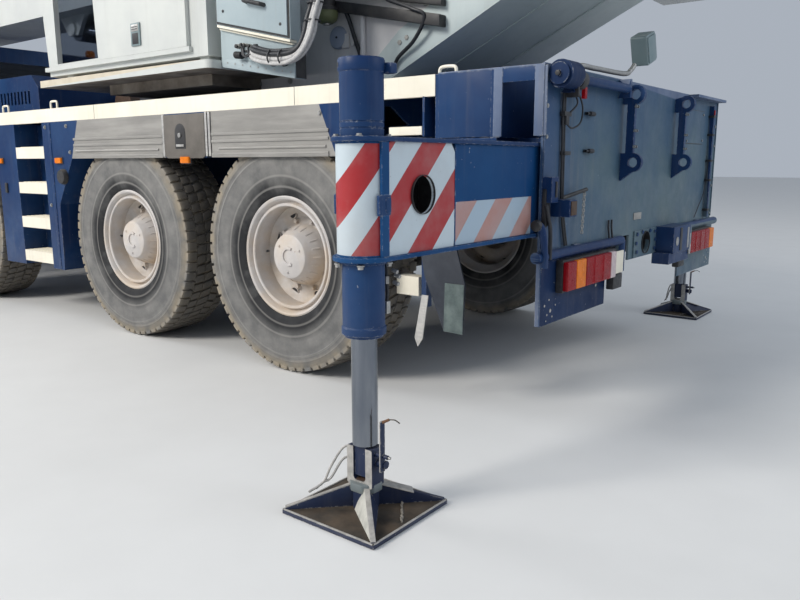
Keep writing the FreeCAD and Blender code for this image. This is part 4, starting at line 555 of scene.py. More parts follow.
def tyre_mesh():
    m = Maker("tyre_form", (0, 0, 0))
    wall = [(346, 158), (356, 172), (372, 181), (388, 185), (396, 189), (404, 187), (450, 194), (462, 198), (472, 196),
            (520, 199), (556, 199), (578, 196), (586, 199), (594, 195), (612, 193), (620, 196), (628, 192), (652, 187),
            (662, 180), (666, 150), (666, 0)]
    profile = [(r, -y) for r, y in wall] + [(r, y) for r, y in reversed(wall[:-1])]
    m.turned(profile, (0, 0, 0), "y", RUBBER, 120)
    # radial seams on the wall
    for side in (1, -1):
        for t in turns(9, 0.3):
            ends = [(r * math.cos(t), side * y, r * math.sin(t)) for r, y in ((408, 186.5), (612, 192.5))]
            m.bar(*ends, 1.8, RUBBER, 6)

    def block(turn, width, y0, y1, skew, low):
        """A tread block between two places across the tread, leaning by skew."""
        rings = []
        for r, shrink in ((low, 1.0), (TYRE_R, 0.93)):
            ring = []
            for y, t in ((y0, -1), (y0, 1), (y1, 1), (y1, -1)):
                a = turn + skew * (y - y0) / (y1 - y0) + t * width * shrink / 2
                reach = r if abs(y) < 170 else r - 9
                ring.append(Vector((reach * math.cos(a), y, reach * math.sin(a))) / 1000)
            rings.append(ring)
        m.solid(rings, RUBBER, bevel=1.5)

    step = 2 * math.pi / TREAD_PITCHES
    for k in range(TREAD_PITCHES):
        for side in (1, -1):
            turn = step * (k + (0.5 if side < 0 else 0))
            block(turn, step * 0.80, side * 116, side * 186, step * 0.05, 650)
            block(turn + step * 0.3, step * 0.80, side * 44, side * 108, step * 0.18, 655)
        block(step * k, step * 0.78, -37, 37, step * 0.35, 655)
    return m.mesh(30)


def rim_mesh():
    """Drawn for the left side, its outer face towards +Y."""
    m = Maker("rim_form", (0, 0, 0))
    outer = [(352, 168), (352, 160), (338, 150), (330, 128), (312, 118), (312, 60), (304, 40), (304, -110), (330, -135),
             (345, -158), (352, -166), (340, -166), (322, -142), (290, -112), (290, 150), (294, 156), (306, 156),
             (310, 150), (311, 136), (316, 133), (322, 138), (328, 158), (334, 168), (344, 172)]
    dish = [(291, 24), (291, 38), (272, 28), (250, 14), (222, 6), (196, 10), (184, 20), (172, 60), (158, 88),
            (146, 112), (140, 128), (134, 140), (128, 150), (118, 155), (0, 155), (0, 142), (118, 142), (126, 128),
            (138, 96), (156, 60), (168, 10), (192, -6), (224, -8), (252, -2), (276, 14)]
    for profile in (outer, dish):
        m.turned(profile, (0, 0, 0), "y", RIM, 84)
    # raised letterless boss on the hub cap, open on one side
    boss = [(r * math.cos(math.radians(t)), r * math.sin(math.radians(t)))
            for r, way in ((58, range(-120, 121, 12)), (40, range(120, -121, -12))) for t in way]
    m.prism(boss, "y", 154, 163, RIM, 3)
    # screws of the cap and wheel nuts: count, share of a step, radius of the circle, foot, head, height
    for count, shift, r, foot, head, height in ((3, 0.3, 96, 155, 6, 7), (10, 0, 206, 8, 13, 26)):
        for t in turns(count, shift):
            m.bolt((r * math.cos(t), foot, r * math.sin(t)), "y", head, height, RIM)
    for t in turns(8, 0.5):
        centre = Vector((250 * math.cos(t), 15, 250 * math.sin(t)))
        m.hand_hole(centre, Vector((0.25 * math.cos(t), 1.0, 0.25 * math.sin(t))).normalized(), 27)
    for t in turns(20):
        m.bar(*[(r * math.cos(t), y, r * math.sin(t)) for r, y in ((150, 104), (171, 58))], 5, RIM, 8)
    # the valve
    m.tube([(288, 60, 0), (262, 70, 6), (246, 96, 12)], 6, BLACK, 8, 4)
    return m.mesh(32)


TYRE_MESH, RIM_MESH = tyre_mesh(), rim_mesh()
for axle, x in AXLES.items():
    for side_name, side in SIDES.items():
        wheel = axle + "_" + side_name
        place = (x, side * WHEEL_Y, WHEEL_Z), 0.0 if side == 1 else math.pi
        stand("tread_" + wheel, TYRE_MESH, "wheel_" + wheel, "tyre", ["tyre_" + wheel], *place)
        stand("dish_" + wheel, RIM_MESH, "wheel_" + wheel, "rim_white", ["rim_" + wheel], *place)


# Outriggers: beams with rounded ends and warning stripes, jack cylinders, and forked pads

# middle of the beam along X, side, the jack's distance from the centre line
CORNERS = {"rear_left": (-1520, 1, 2336), "rear_right": (-1280, -1, 1900),
           "front_left": (5150, 1, 2336), "front_right": (5390, -1, 2336)}
BEAM_HALF, BEAM_LOW, BEAM_HIGH, BEAM_INNER = 88, 900, 1306, 2396
FLANGE_WALL, FLANGE_HALF, COLLAR_R = 16, 100, 103
JACK_R = 73
HOLE_IN, HOLE_Z, HOLE_R = 217, 1113, 66
PLATE_IN = 420


def arc(centre, radius, first, last, steps, side=1):
    """Corners of an arc seen from above; angles in degrees, mirrored for the right side."""
    turns = [math.radians(first + (last - first) * k / steps) for k in range(steps + 1)]
    return [(centre[0] + radius * math.cos(t), side * (centre[1] + radius * math.sin(t))) for t in turns]


def holed_plate(m, side, x, wall, y0, y1, z0, z1, hole_y, material):
    """A plate across X, from y0 to y1 off the centre line, with the beam's round hole in it."""
    def quad_edge(t):
        dy, dz = math.cos(t), math.sin(t)
        reach = min(((y1 if dy > 0 else y0) - hole_y) / dy, ((z1 if dz > 0 else z0) - HOLE_Z) / dz)
        return [(hole_y + dy * r, HOLE_Z + dz * r) for r in (HOLE_R, reach)]

    angles = turns(36, 0.5)
    for a, b in zip(angles, angles[1:] + angles[:1]):
        corners = quad_edge(a) + quad_edge(b)[::-1]
        m.solid([[m.spot(w, side * y, z) for y, z in corners] for w in (x, x + wall)], material)


def beam_form(corner, x, side, jack):
    m = Maker("beam_" + corner)
    centre = (x, jack)
    low, high = BEAM_LOW + FLANGE_WALL, BEAM_HIGH - FLANGE_WALL

    def y(off):
        return side * (jack + off)

    def around(radius, turn, z):
        return arc(centre, radius, turn, turn, 1, side)[0] + (z,)

    def band(outer, inner, z0, z1, material):
        m.prism(arc(centre, outer, 0, 180, 32, side) + arc(centre, inner, 180, 0, 32, side), "z", z0, z1, material, 0)

    # closed box towards the middle, hollow end with the two holes, sheet wrapped round the jack; the hollow end's dark
    # inner sheets and the holes' black linings are painted shade
    m.box(x - BEAM_HALF, x + BEAM_HALF, y(-BEAM_INNER), y(-PLATE_IN), low, high, BEAM_BLUE, 1)
    # dark sheet closing the box towards the hollow end: painted shade
    m.box(x - 79, x + 79, y(-PLATE_IN), y(2 - PLATE_IN), low + 1, high - 1, DARK, 0)
    for out in (1, -1):
        face = x + out * BEAM_HALF
        holed_plate(m, side, face, -out * 8, jack - PLATE_IN, jack, low, high, jack - HOLE_IN, STRIPES)
        # dark sheets just inside the walls: painted shade in the hollow end
        holed_plate(m, side, face - out * 8.4, -out * 1.2, jack - PLATE_IN + 3, jack - 60, low + 1, high - 1,
                    jack - HOLE_IN, DARK)
        for y0, y1, z0, z1, thick, material, bevel in (
                (-1010, -PLATE_IN - 4, low + 2, low + 162, 1.5, FADED_STRIPES, 0.3),
                (-PLATE_IN - 3, -PLATE_IN + 3, low, high, 2, BEAM_BLUE, 0.5), (-20, 18, low, high, 11, BEAM_BLUE, 2),
                (-28, 34, 1052, 1120, 12, BLUE, 5), (-27, 2, 1060, 1112, 15, BLUE, 6)):
            m.box(face, face + out * thick, y(y0), y(y1), z0, z1, material, bevel)
        # black lining inside the hole: painted shade
        m.turned([(HOLE_R, -8), (HOLE_R + 2, -8), (HOLE_R + 2, 1), (HOLE_R, 1)], (face, y(-HOLE_IN), HOLE_Z), "x",
                 BLACK)
    band(BEAM_HALF, BEAM_HALF - 6, low, high, STRIPES)
    for z in (low, high - 7):
        band(BEAM_HALF + 1.5, BEAM_HALF - 1, z, z + 7, BEAM_BLUE)
    # flanges follow the same line, with a collar round the cylinder
    for foot, material in ((BEAM_LOW, BEAM_BLUE), (high, BLUE)):
        for edge in (1, -1):
            m.box(x + edge * FLANGE_HALF, x + edge * 40, y(-BEAM_INNER), y(-90), foot, foot + FLANGE_WALL, material)
        plan = arc(centre, COLLAR_R, -12, 192, 40, side) + [(x - FLANGE_HALF, y(-92)), (x + FLANGE_HALF, y(-92))]
        m.prism(plan, "z", foot, foot + FLANGE_WALL, material, 3)
    m.prism(arc(centre, COLLAR_R - 20, 0, 360, 48, side)[:-1], "z", BEAM_LOW - 9, BEAM_LOW + 1, BLUE)
    for turn in (55, 125, 215, 325):
        m.bolt(around(COLLAR_R - 16, turn, BEAM_LOW - 9), "-z", 10, 12)
        m.bolt(around(COLLAR_R - 16, turn, BEAM_HIGH), "z", 9, 8)
    # the cylinder: gland, body with two grooves, cap band and rounded top
    grooves = [(JACK_R - deep, z + up) for z in (1330, 1350) for deep, up in ((0, 0), (2, 1), (2, 4), (0, 5))]
    profile = [(0, 645), (50, 645), (52, 638), (66, 638), (68, 645), (77, 649), (77, 672), (JACK_R, 677)] + grooves + [
        (JACK_R, 1508), (JACK_R + 3, 1511), (JACK_R + 4, 1516), (JACK_R + 4, 1545), (JACK_R, 1552), (0, 1554)]
    m.turned(profile, (x, side * jack, 0), "z", BLUE, 72)
    # black plugs in the cap band stand for its holes: painted shade
    for turn in (55, 228, 305):
        m.bar(around(JACK_R - 4, turn, 1530), around(JACK_R + 4.6, turn, 1530), 8.5, BLACK, 16)
    u, v, z = around(JACK_R + 16, 216, 1504)
    m.box(u - 22, u + 20, v - 17, v + 17, z, z + 34, BLUE, 6)
    # hydraulic lines behind the cylinder, with their fittings
    for u in (x - 35, x - 12):
        m.tube([(u, y(-74), BEAM_LOW - 4), (u, y(-79), 860), (u - 2, y(-82), 770), (u + 2, y(-76), 742)], 6, HOSE, 8)
        m.bar((u, y(-81), 838), (u, y(-81), 812), 10, STEEL, 6, 1)
    m.box(x - 48, x + 4, y(-88), y(-66), 708, 752, STEEL, 4)
    for off, z in ((-80, 862), (-94, 844), (-86, 820)):
        m.bar((x - 62, y(off), z), (x - 84, y(off), z - 6), 8, STEEL, 6, 1)
    m.done("beam_" + corner, "carrier_blue", ["outrigger_beam_" + corner])


FORK_HALF, FORK_DEEP, FORK_TOP, SLOT_HALF = 57, 32.5, 242, 27.8
WEB_IN, WEB_OUT = 30, 286


def pad_form(corner, x, side, jack):
    """Square plate with a worn lip, four diagonal webs, and the fork that holds the rod's end."""
    m = Maker("pad_" + corner)
    y = side * jack
    m.box(x - 210, x + 210, y - 210, y + 210, 0.5, 15, PAD, 2)
    m.box(x - 204, x + 204, y - 204, y + 204, 14, 16.5, PAD_DIRT, 0.3)
    for sign in (1, -1):
        m.box(x + sign * 203, x + sign * 209, y - 209, y + 209, 14, 19, WORN, 1)
        m.box(x - 209, x + 209, y + sign * 203, y + sign * 209, 14, 19, WORN, 1)
    fold = 135 if side == 1 else 225
    # direction of each web, half width of its worn cap, the share of its length that the cap covers
    for turn, cap, cover in ((45, 7, 1.0), (135, 9, 1.0), (225, 22, 0.55), (315, 8, 1.0)):
        ahead = Vector((math.cos(math.radians(turn)), math.sin(math.radians(turn)), 0))
        across = Vector((-ahead.y, ahead.x, 0))
        for half, share, foot, top, material in ((7, 1.0, (15, 15), (106, 24), PAD),
                                                 (cap, cover, (104, 22), (110, 28), WORN)):
            rings = []
            for k in (0, share):
                z0, z1 = [near + (far - near) * k for near, far in (foot, top)]
                middle = m.spot(x, y, 0) + ahead * (WEB_IN + (WEB_OUT - WEB_IN) * k) / 1000
                rings.append([middle + (across * w + Vector((0, 0, z))) / 1000
                              for w, z in ((-half, z0), (half, z0), (half, z1), (-half, z1))])
            m.solid(rings, material, bevel=1)
        if turn == fold:
            # seen from the corner: wide at the post, running out to a point, its forward face pale with painted
            # sunlight
            near, far = [Vector((x, y, 0)) + ahead * reach for reach in (34, 284)]
            forward = across if across.x > 0 else -across
            for out, lean, material in ((forward, 0, PAD), (forward, 1.5, SUNLIT_WHITE), (-forward, 0, PAD)):
                m.solid([[m.spot(*(end + out * w + Vector((0, 0, z)))) for w, z in corners]
                         for end, corners in ((near, ((0, 15), (42 + lean, 15), (6 + lean, 108), (0, 108))),
                                              (far, ((0, 15), (4 + lean, 15), (3 + lean, 22), (0, 22))))], material)
    octagon = ((1, 0.42), (0.42, 1), (-0.42, 1), (-1, 0.42), (-1, -0.42), (-0.42, -1), (0.42, -1), (1, -0.42))
    post = [(x + 46 * u, y + 46 * v) for u, v in octagon]
    m.prism(post, "z", 15, 86, PAD, 2)
    m.prism([(x + (u - x) * 1.27, y + (v - y) * 1.15) for u, v in post], "z", 80, 112, FORK, 5)
    slot = [(SLOT_HALF, FORK_TOP), (SLOT_HALF, 129), (23, 121), (15, 118), (-15, 118), (-23, 121), (-SLOT_HALF, 129),
            (-SLOT_HALF, FORK_TOP)]
    outer = [(-FORK_HALF, FORK_TOP - 6), (-FORK_HALF, 104), (-44, 92), (44, 92), (FORK_HALF, 104),
             (FORK_HALF, FORK_TOP - 6), (FORK_HALF - 4, FORK_TOP)]
    outline = [(x + u, z) for u, z in slot + [(-FORK_HALF + 4, FORK_TOP)] + outer]
    m.prism(outline, "y", y - FORK_DEEP, y + FORK_DEEP, PAD, 0)
    for out in (1, -1):
        m.prism(outline, "y", y + out * FORK_DEEP, y + out * (FORK_DEEP + 1.5), WORN, 0)
    m.box(x - SLOT_HALF + 0.5, x + SLOT_HALF - 0.5, y - 31, y + 31, 117, 120.5, BROWN, 0)
    # pins with their handle to the rear, retaining strip and wire loops
    m.bar((x + 58, y, 190), (x + 69, y, 190), 16, STEEL, 20, 2)
    m.bar((x - 57, y, 190), (x - 97, y, 190), 15, PAD, 20, 3)
    m.bar((x - 57, y + 10, 224), (x - 112, y + 10, 224), 8, PAD, 14, 2)
    m.bar((x - 112, y + 10, 224), (x - 122, y + 10, 224), 5, STEEL, 10, 1)
    m.box(x - 90, x - 83, y + 4, y + 24, 168, 352, WORN, 1)
    m.box(x - 91, x - 89, y + 2, y + 26, 168, 350, PAD, 0.5)
    m.bar((x - 86, y + 14, 346), (x - 112, y + 4, 360), 5, RUST, 8)
    m.tube([(x - 112, y + 4, 360), (x - 134, y, 362), (x - 150, y - 6, 352)], 2.2, GREASY, 6)
    for lift, out in ((226, 62), (184, 26)):
        m.tube([(x + 56, y + side * 8, lift), (x + 84, y + side * 26, lift - 8), (x + 112, y + side * 60, lift - 74),
                (x + 128, y + side * 84, 96), (x + 146, y + side * (78 + out), 74)], 4.4, WORN, 8)
    # grit in one corner of the plate
    for k in range(40):
        u = x - 60 - 130 * ((k * 0.618) % 1.0)
        v = y + side * (30 - 170 * ((k * 0.381) % 1.0))
        size = 2.5 + 3.5 * ((k * 0.27) % 1.0)
        m.bar((u, v, 16), (u + size, v, 16 + size * 1.4), size, GRIT, 5, 0, size * 0.4)
    m.done("jack_" + corner, "dark_trim", ["jack_pad_" + corner])


for corner, (x, side, jack) in CORNERS.items():
    beam_form(corner, x, side, jack)
    pad_form(corner, x, side, jack)


# Lamps, with ribbed lenses in their housings

LAMP_Y, LAMP_HALF = 845, 310
NOSE_X = 7452


def lamps():
    m = Maker("lamp_lenses")
    for side in (1, -1):
        mid = side * LAMP_Y
        first, second = (RED_LENS, ORANGE_LENS) if side == 1 else (ORANGE_LENS, RED_LENS)
        # where each lens starts and ends from the lamp's outer end, and its glass
        for start, end, lens_glass in ((0, 100, first), (100, 205, second), (205, 505, RED_LENS),
                                       (505, 570, WHITE_LENS)):
            m.box(-1715, -1690, mid + side * (LAMP_HALF - start - 2), mid + side * (LAMP_HALF - end + 2), 645, 779,
                  lens_glass, 7)
        for cut in (300, 405):
            seam = mid + side * (LAMP_HALF - cut)
            m.box(-1716.5, -1712, seam - 2, seam + 2, 650, 774, RED_LENS, 1)
        m.box(-1691, -1656, mid - LAMP_HALF - 2, mid + LAMP_HALF + 2, 636, 786, DARK, 5)
        inner = mid - side * 262
        m.box(-1712, -1704, inner, inner - side * 96, 660, 775, CREAM, 3)
        m.box(-1700, -1660, inner - side * 4, inner - side * 122, 575, 652, DARK, 6)
    # side marker lamps, places along X and their heights
    for side in (1, -1):
        for x, z in ((824, 1240), (2380, 1240), (3330, 1240)):
            m.box(x - 44, x + 44, side * 1301, side * 1320, z - 20, z + 20, ORANGE_LENS, 5)
            m.box(x - 50, x + 50, side * 1291, side * 1306, z - 26, z + 26, DARK, 3)
        y = side * 900
        m.turned([(0, 0), (70, 0), (84, 16), (88, 30), (94, 30), (94, -8), (0, -8)], (NOSE_X, y, 640), "x", STEEL, 40)
        m.turned([(0, 22), (84, 22), (84, 28), (60, 36), (0, 40)], (NOSE_X, y, 640), "x", WHITE_LENS, 40)
        m.turned([(86, 2), (104, 2), (104, 34), (96, 42), (86, 38)], (NOSE_X, y, 640), "x", DARK, 40)
        m.box(7451, 7474, side * 1035, side * 1190, 572, 698, ORANGE_LENS, 8)
        m.box(7451, 7468, side * 640, side * 760, 590, 690, WHITE_LENS, 8)
        beacon = (5800, side * 1010, 2480)
        m.turned([(0, 24), (52, 24), (56, 34), (55, 88), (44, 104), (20, 110), (0, 110)], beacon, "z", ORANGE_LENS, 40)
        m.turned([(0, 0), (74, 0), (74, 18), (60, 26), (0, 26)], beacon, "z", DARK, 40)
    m.done("carrier", "lamp", ["lamps"])


lamps()


# Side of the carrier: latch panels, ribs of the skirts, grab loops, seams, flaps

def latch_panel(m, side):
    y = side * 1300
    out = side * 9
    m.prism([(626, 1520), (1034, 1520), (1034, 1275), (1024, 1258), (1004, 1250), (656, 1250), (636, 1258),
             (626, 1275)], "y", y, y + out, TAUPE, 3)
    for radius, foot, thick, material in ((54, 1308, 1.12, DARK), (46, 1318, 1.25, BLACK)):
        arch = [(866 + radius * math.cos(math.pi * k / 12), 1410 + radius * math.sin(math.pi * k / 12))
                for k in range(13)] + [(866 - radius, foot), (866 + radius, foot)]
        m.prism(arch, "y", y + out, y + out * thick, material, 1)
    m.bar((866, y + out, 1392), (866, y + out * 2.2, 1392), 15, STEEL, 20, 2)
    m.box(828, 904, y + out, y + out * 1.9, 1322, 1336, ALUMINIUM, 2)
    for x in (574, 604, 1038):
        m.box(x, x + 20, y, y + side * 7, 1262, 1524, ALUMINIUM, 2)


# side, X of the closed plate's ends, X of the open bay's ends
BAYS = ((1, -1382, -1096, -1604, -1430), (-1, -1618, -1430, -1380, -1100))


def rear_bays(m):
    for side, shut_rear, shut_front, open_rear, open_front in BAYS:
        y0, y1 = side * 1282, side * 1297
        m.box(shut_rear, shut_front, y0, y1, 1334, 1628, BLUE, 4)
        m.box(open_rear - 20, open_front + 20, y0, y1, 1564, 1628, BLUE, 4)
        for x in (open_rear - 14, open_front + 14):
            m.box(x - 22, x + 22, side * 1290, side * 1299, 1334, 1630, WORN_AND_SUNLIT_BLUE, 3)
        m.box(-1640, -1096, side * 1180, side * 1298, 1624, 1631, WORN_AND_SUNLIT_BLUE, 2)
        m.box(-1020, -1008, side * 1190, side * 1300, 1344, 1532, BLUE, 2)
        m.box(-1006, -806, side * 1270, side * 1302, 1352, 1392, CREAM, 3)


def carrier_side():
    m = Maker("carrier_side_trim")
    rear_bays(m)
    for side in (1, -1):
        y = side * 1300
        latch_panel(m, side)
        for x0, x1 in ((-400, 568), (1062, 2160)):
            for z, tall in ((1392, 9), (1350, 9), (1268, 14)):
                m.box(x0, x1, y, y + side * 7, z - tall, z + tall, SKIRT, 5)
        for x, z in ((-336, 1480), (-520, 1496), (2250, 1490), (2220, 1300), (2560, 1490), (2560, 900), (3440, 1460),
                     (4830, 1460)):
            m.bolt((x, y, z), "y" if side == 1 else "-y", 11, 9)
        foot = side * 1282
        for x, top in ((2431, 1676), (3203, 1676), (4420, 1676), (-1140, 1656)):
            m.tube([(x - 45, foot, 1622), (x - 45, foot, top - 12), (x - 30, foot, top), (x + 30, foot, top),
                    (x + 45, foot, top - 12), (x + 45, foot, 1622)], 8, CREAM, 10, 4)
        for x in (1856, 3600, -150):
            m.box(x - 1.5, x + 1.5, y - side * 2, y + side * 0.6, 1529, 1625,
                  DARK, 0)
        m.box(3250, 3290, y, y + side * 12, 980, 1060, DARK, 5)
        if side == 1:
            m.turned([(0, 0), (58, 0), (58, 16), (50, 34), (0, 36)], (2330, y, 1120), "y", DARK, 32)
        m.box(2484, 2516, y, y + side * 4, 404, 1520, BLUE, 1.5)
        # ribbed treads on the steps
        for rung in range(4):
            top = 1345 - 275 * rung
            for inner in range(1130, 1267, 34):
                m.box(2640, 3030, side * inner, side * (inner + 10), top - 0.5, top + 4, CREAM, 1)
        # flap behind the rear wheel and the stays under the skirt; the right one clears its jack's way in
        flap = side * 1245
        shape = [(-930, 905), (-1145, 905), (-1225, 640), (-1215, 395), (-1100, 400), (-985, 660)] if side == 1 else [
            (-760, 905), (-1035, 905), (-1045, 395), (-850, 395), (-780, 660)]
        m.prism(shape, "y", flap, flap - side * 10, FLAP, 2)
        m.box(-850, -702, side * 1030, side * 1112, 525, 628, CREAM, 4)
        m.box(-900, -868, side * 1060, side * 1112, 470, 915, BLUE, 4)
        if side == 1:
            m.prism([(-950, 560), (-990, 560), (-955, 330), (-925, 285), (-905, 330)], "y", flap - 30, flap - 24,
                    ALUMINIUM, 1)
            m.prism([(-1110, 640), (-1222, 640), (-1216, 392), (-1104, 396)], "y", flap - 1, flap + 4, FLAP_WORN, 2)
        m.box(-905, -865, side * 1060, side * 1245, 900, 1250, BLUE, 3)
    m.done("carrier", "skirt_grey")


carrier_side()


# Rear face: the small parts that are bolted to the panel

def chain(m, spot, links, swing, material):
    """A hanging chain of oval links, each turned a quarter from the last."""
    x, y, z = spot
    for k in range(links):
        centre = m.spot(x, y + swing * k, z - 12.5 * k)
        across, side = [Vector((0, 1, 0)), Vector((1, 0, 0))][::1 if k % 2 else -1]
        oval = [centre + side * 0.006 * math.cos(t) + Vector((0, 0, 0.0095)) * math.sin(t) for t in turns(12)]
        rings = []
        for before, point, after in zip(oval[-1:] + oval, oval, oval[1:] + oval[:1]):
            up = across.cross((after - before).normalized())
            rings.append([point + (across * math.cos(a) + up * math.sin(a)) * 0.0022 for a in turns(6)])
        m.solid(rings, material, smooth=True, closed=True)


PANEL_X = -1641


def rear_face():
    m = Maker("rear_face_parts")
    x = PANEL_X
    # the round navy cap at the panel's upper left: painted shade
    m.turned([(0, 0), (40, 0), (46, 6), (46, 14), (0, 16)], (-1694, 1260, 1590), "y", SHADE_NAVY, 36)
    # black cup inside the coupling's hole: painted shade
    m.turned([(60.5, -6), (64, -6), (64, 150), (0, 150), (0, 146), (60.5, 146)], (-1648, 0, 770), "x", BLACK, 48)
    m.bar((-1694, 1276, 1590), (-1694, 1290, 1590), 12, BLACK, 6, 1)
    m.bar((-1698, 1112, 1575), (-1698, 1060, 1575), 40, BLACK, 24, 3)
    m.box(x - 66, x - 48, 1010, 1036, 1500, 1552, RED_LENS, 4)
    m.box(x - 78, x - 20, 1112, 1128, 1500, 1556, BLACK, 6)
    # conduits down the panel, cable loops and clamps
    for y, radius in ((1130, 6), (1112, 5)):
        m.tube([(x - 12, y, 1545), (x - 10, y + 2, 1430), (x - 10, y - 4, 1250), (x - 10, y - 10, 1060),
                (x - 10, y - 30, 960), (x - 12, y - 62, 845)], radius, HOSE, 8)
    m.tube([(x - 20, 1010, 1535), (x - 34, 985, 1470), (x - 34, 1000, 1400), (x - 22, 1060, 1372),
            (x - 14, 1098, 1390)], 4, HOSE, 8)
    m.tube([(x - 20, 1050, 1530), (x - 40, 1052, 1480), (x - 24, 1088, 1440)], 4, HOSE, 8)
    for y, z, wide, tall in ((1110, 1432, 34, 10), (1100, 1262, 30, 9), (1112, 1405, 16, 20)):
        m.box(x - 26, x, y - wide, y + wide, z - tall, z + tall, BLACK, 4)
    for z in (1445, 1274):
        m.bar((x - 14, 795, z), (x - 14, 885, z), 6, HOSE, 12, 2)
        m.bar((x - 17, 815, z), (x - 17, 862, z), 11, HOSE, 14, 3)
        for y in (800, 880):
            m.box(x - 18, x, y - 5, y + 5, z - 7, z + 7, BLACK, 2)
    # socket boxes on the left edge, chain on its rod
    m.box(x - 50, x - 44, 1236, 1252, 1072, 1140, DARK, 2)
    m.box(x - 96, x - 90, 1134, 1190, 992, 1054, BROWN, 3)
    m.bar((x, 1100, 1060), (x - 46, 930, 1098), 9, BLACK, 12)
    chain(m, (x - 40, 938, 1088), 16, 0.8, STEEL)
    m.box(x - 2.5, x, 75, 190, 908, 946, SKIRT, 0.5)
    # hatch screws, seam round it, the clipped conduit on the right
    for y, z in ((-535, 1360), (-535, 1525), (-962, 1360), (-962, 1525), (-640, 1352)):
        m.bolt((x - 4, y, z), "-x", 6, 5)
    for y0, y1, z0, z1 in ((-989, -511, 1336, 1340), (-989, -511, 1545, 1548), (-515, -511, 1336, 1548),
                           (-989, -985, 1336, 1548)):
        m.box(x - 2, x, y0, y1, z0, z1, DARK, 0)
    for z in (900, 1100, 1230, 1400, 1520):
        m.box(x - 36, x, -1136, -1090, z - 7, z + 7, BLACK, 2)
    m.box(x - 34, x - 28, -1130, -1110, 1530, 1562, RED_LENS, 2)
    m.tube([(x - 14, -1108, 1230), (x - 12, -1100, 1120), (x - 12, -1050, 1010), (x - 12, -960, 930),
            (x - 12, -880, 860)], 3, HOSE, 8)
    m.tube([(x - 8, -505, 1560), (x - 8, -500, 1450), (x - 8, -520, 1330), (x - 8, -500, 1180)], 3, HOSE, 8)
    for y in (520, 560):
        m.tube([(x - 10, y, 930), (x - 10, y - 4, 880), (x - 22, y - 10, 790)], 5, HOSE, 8)
    # towing gear: jaw pin, lever and its ring
    m.bar((x - 110, -250, 760), (x - 112, -250, 760), 26, STEEL, 28, 0.5)
    m.box(x - 111, x - 106, -470, -440, 705, 830, STEEL, 1)
    m.box(x - 112, x - 106, -340, -300, 700, 836, BLACK, 1)
    m.bar((x - 104, -502, 660), (x - 104, -498, 790), 8, STEEL, 14, 2)
    # bent pipe and black guard beside the beam
    m.bar((-1652, 1362, 952), (-1652, 1338, 958), 24, BLACK, 24, 3)
    m.tube([(-1652, 1346, 956), (-1664, 1334, 950), (-1672, 1322, 905), (-1676, 1312, 820), (-1672, 1304, 770)], 16,
           BLUE, 16, 6)
    m.tube([(-1664, 1290, 1040), (-1672, 1280, 985), (-1674, 1262, 930), (-1674, 1258, 800)], 9, HOSE, 12, 4)
    m.prism([(1292, 1110), (1260, 1080), (1238, 960), (1292, 940)], "x", -1664, -1644, BLACK, 3)
    # lamp on its bent arm
    m.tube([(-1600, 880, 1628), (-1600, 860, 1664), (-1600, 700, 1668), (-1600, 330, 1676), (-1600, 240, 1700),
            (-1600, 190, 1732)], 13, STEEL, 12, 6)
    turn = math.radians(-20)
    ring = [(80 + u * math.cos(turn) - v * math.sin(turn), 1822 + u * math.sin(turn) + v * math.cos(turn))
            for u, v in ((-62, -72), (62, -72), (66, -60), (66, 76), (58, 84), (-58, 84), (-66, 76), (-66, -60))]
    m.prism(ring, "x", -1650, -1560, TEAL, 8)
    m.prism([(80 + (u - 80) * 0.86, 1822 + (v - 1822) * 0.86) for u, v in ring], "x", -1656, -1649, TEAL, 3)
    # left edge of the panel in pale worn paint, paler with painted sunlight; weld beads, screws
    m.box(-1652, -1600, 1286, 1294, 1335, 1625, WORN_AND_SUNLIT_BLUE, 2)
    for side in (1, -1):
        m.bar((x - 2, side * 1284, 850), (x - 2, side * 1284, 1620), 4, FADED_BLUE, 8)
        for z in (870, 1060, 1330, 1460):
            m.bolt((x, side * 1262, z), "-x", 7, 5)
        for z in (1500, 1380, 1300):
            m.bolt((x - 70, side * 410 + 13, z), "y", 6, 5)
            m.bolt((x - 70, side * 410 - 13, z), "-y", 6, 5)
        m.box(-1648, -1630, side * 1296, side * 1300, 500, 800, WORN_AND_SUNLIT_BLUE, 1)
        for y0, z0, size in ((1200, 560, 9), (1232, 545, 5), (1180, 530, 5), (1258, 590, 6), (1150, 580, 4),
                             (1215, 612, 5), (1240, 518, 4), (700, 612, 8)):
            m.bar((-1655.5, side * y0, z0), (-1657, side * y0, z0), size, WORN, 9)
    m.done("carrier", "carrier_blue")


rear_face()


# Superstructure beside the near camera: cabinet doors, valve panel with its hoses, cheek fittings

def slope_z(x, front_z=2045, rear_z=1898):
    """Height at X along a line that slopes with the cabinets' feet."""
    return rear_z + (front_z - rear_z) * (x + 10) / 635


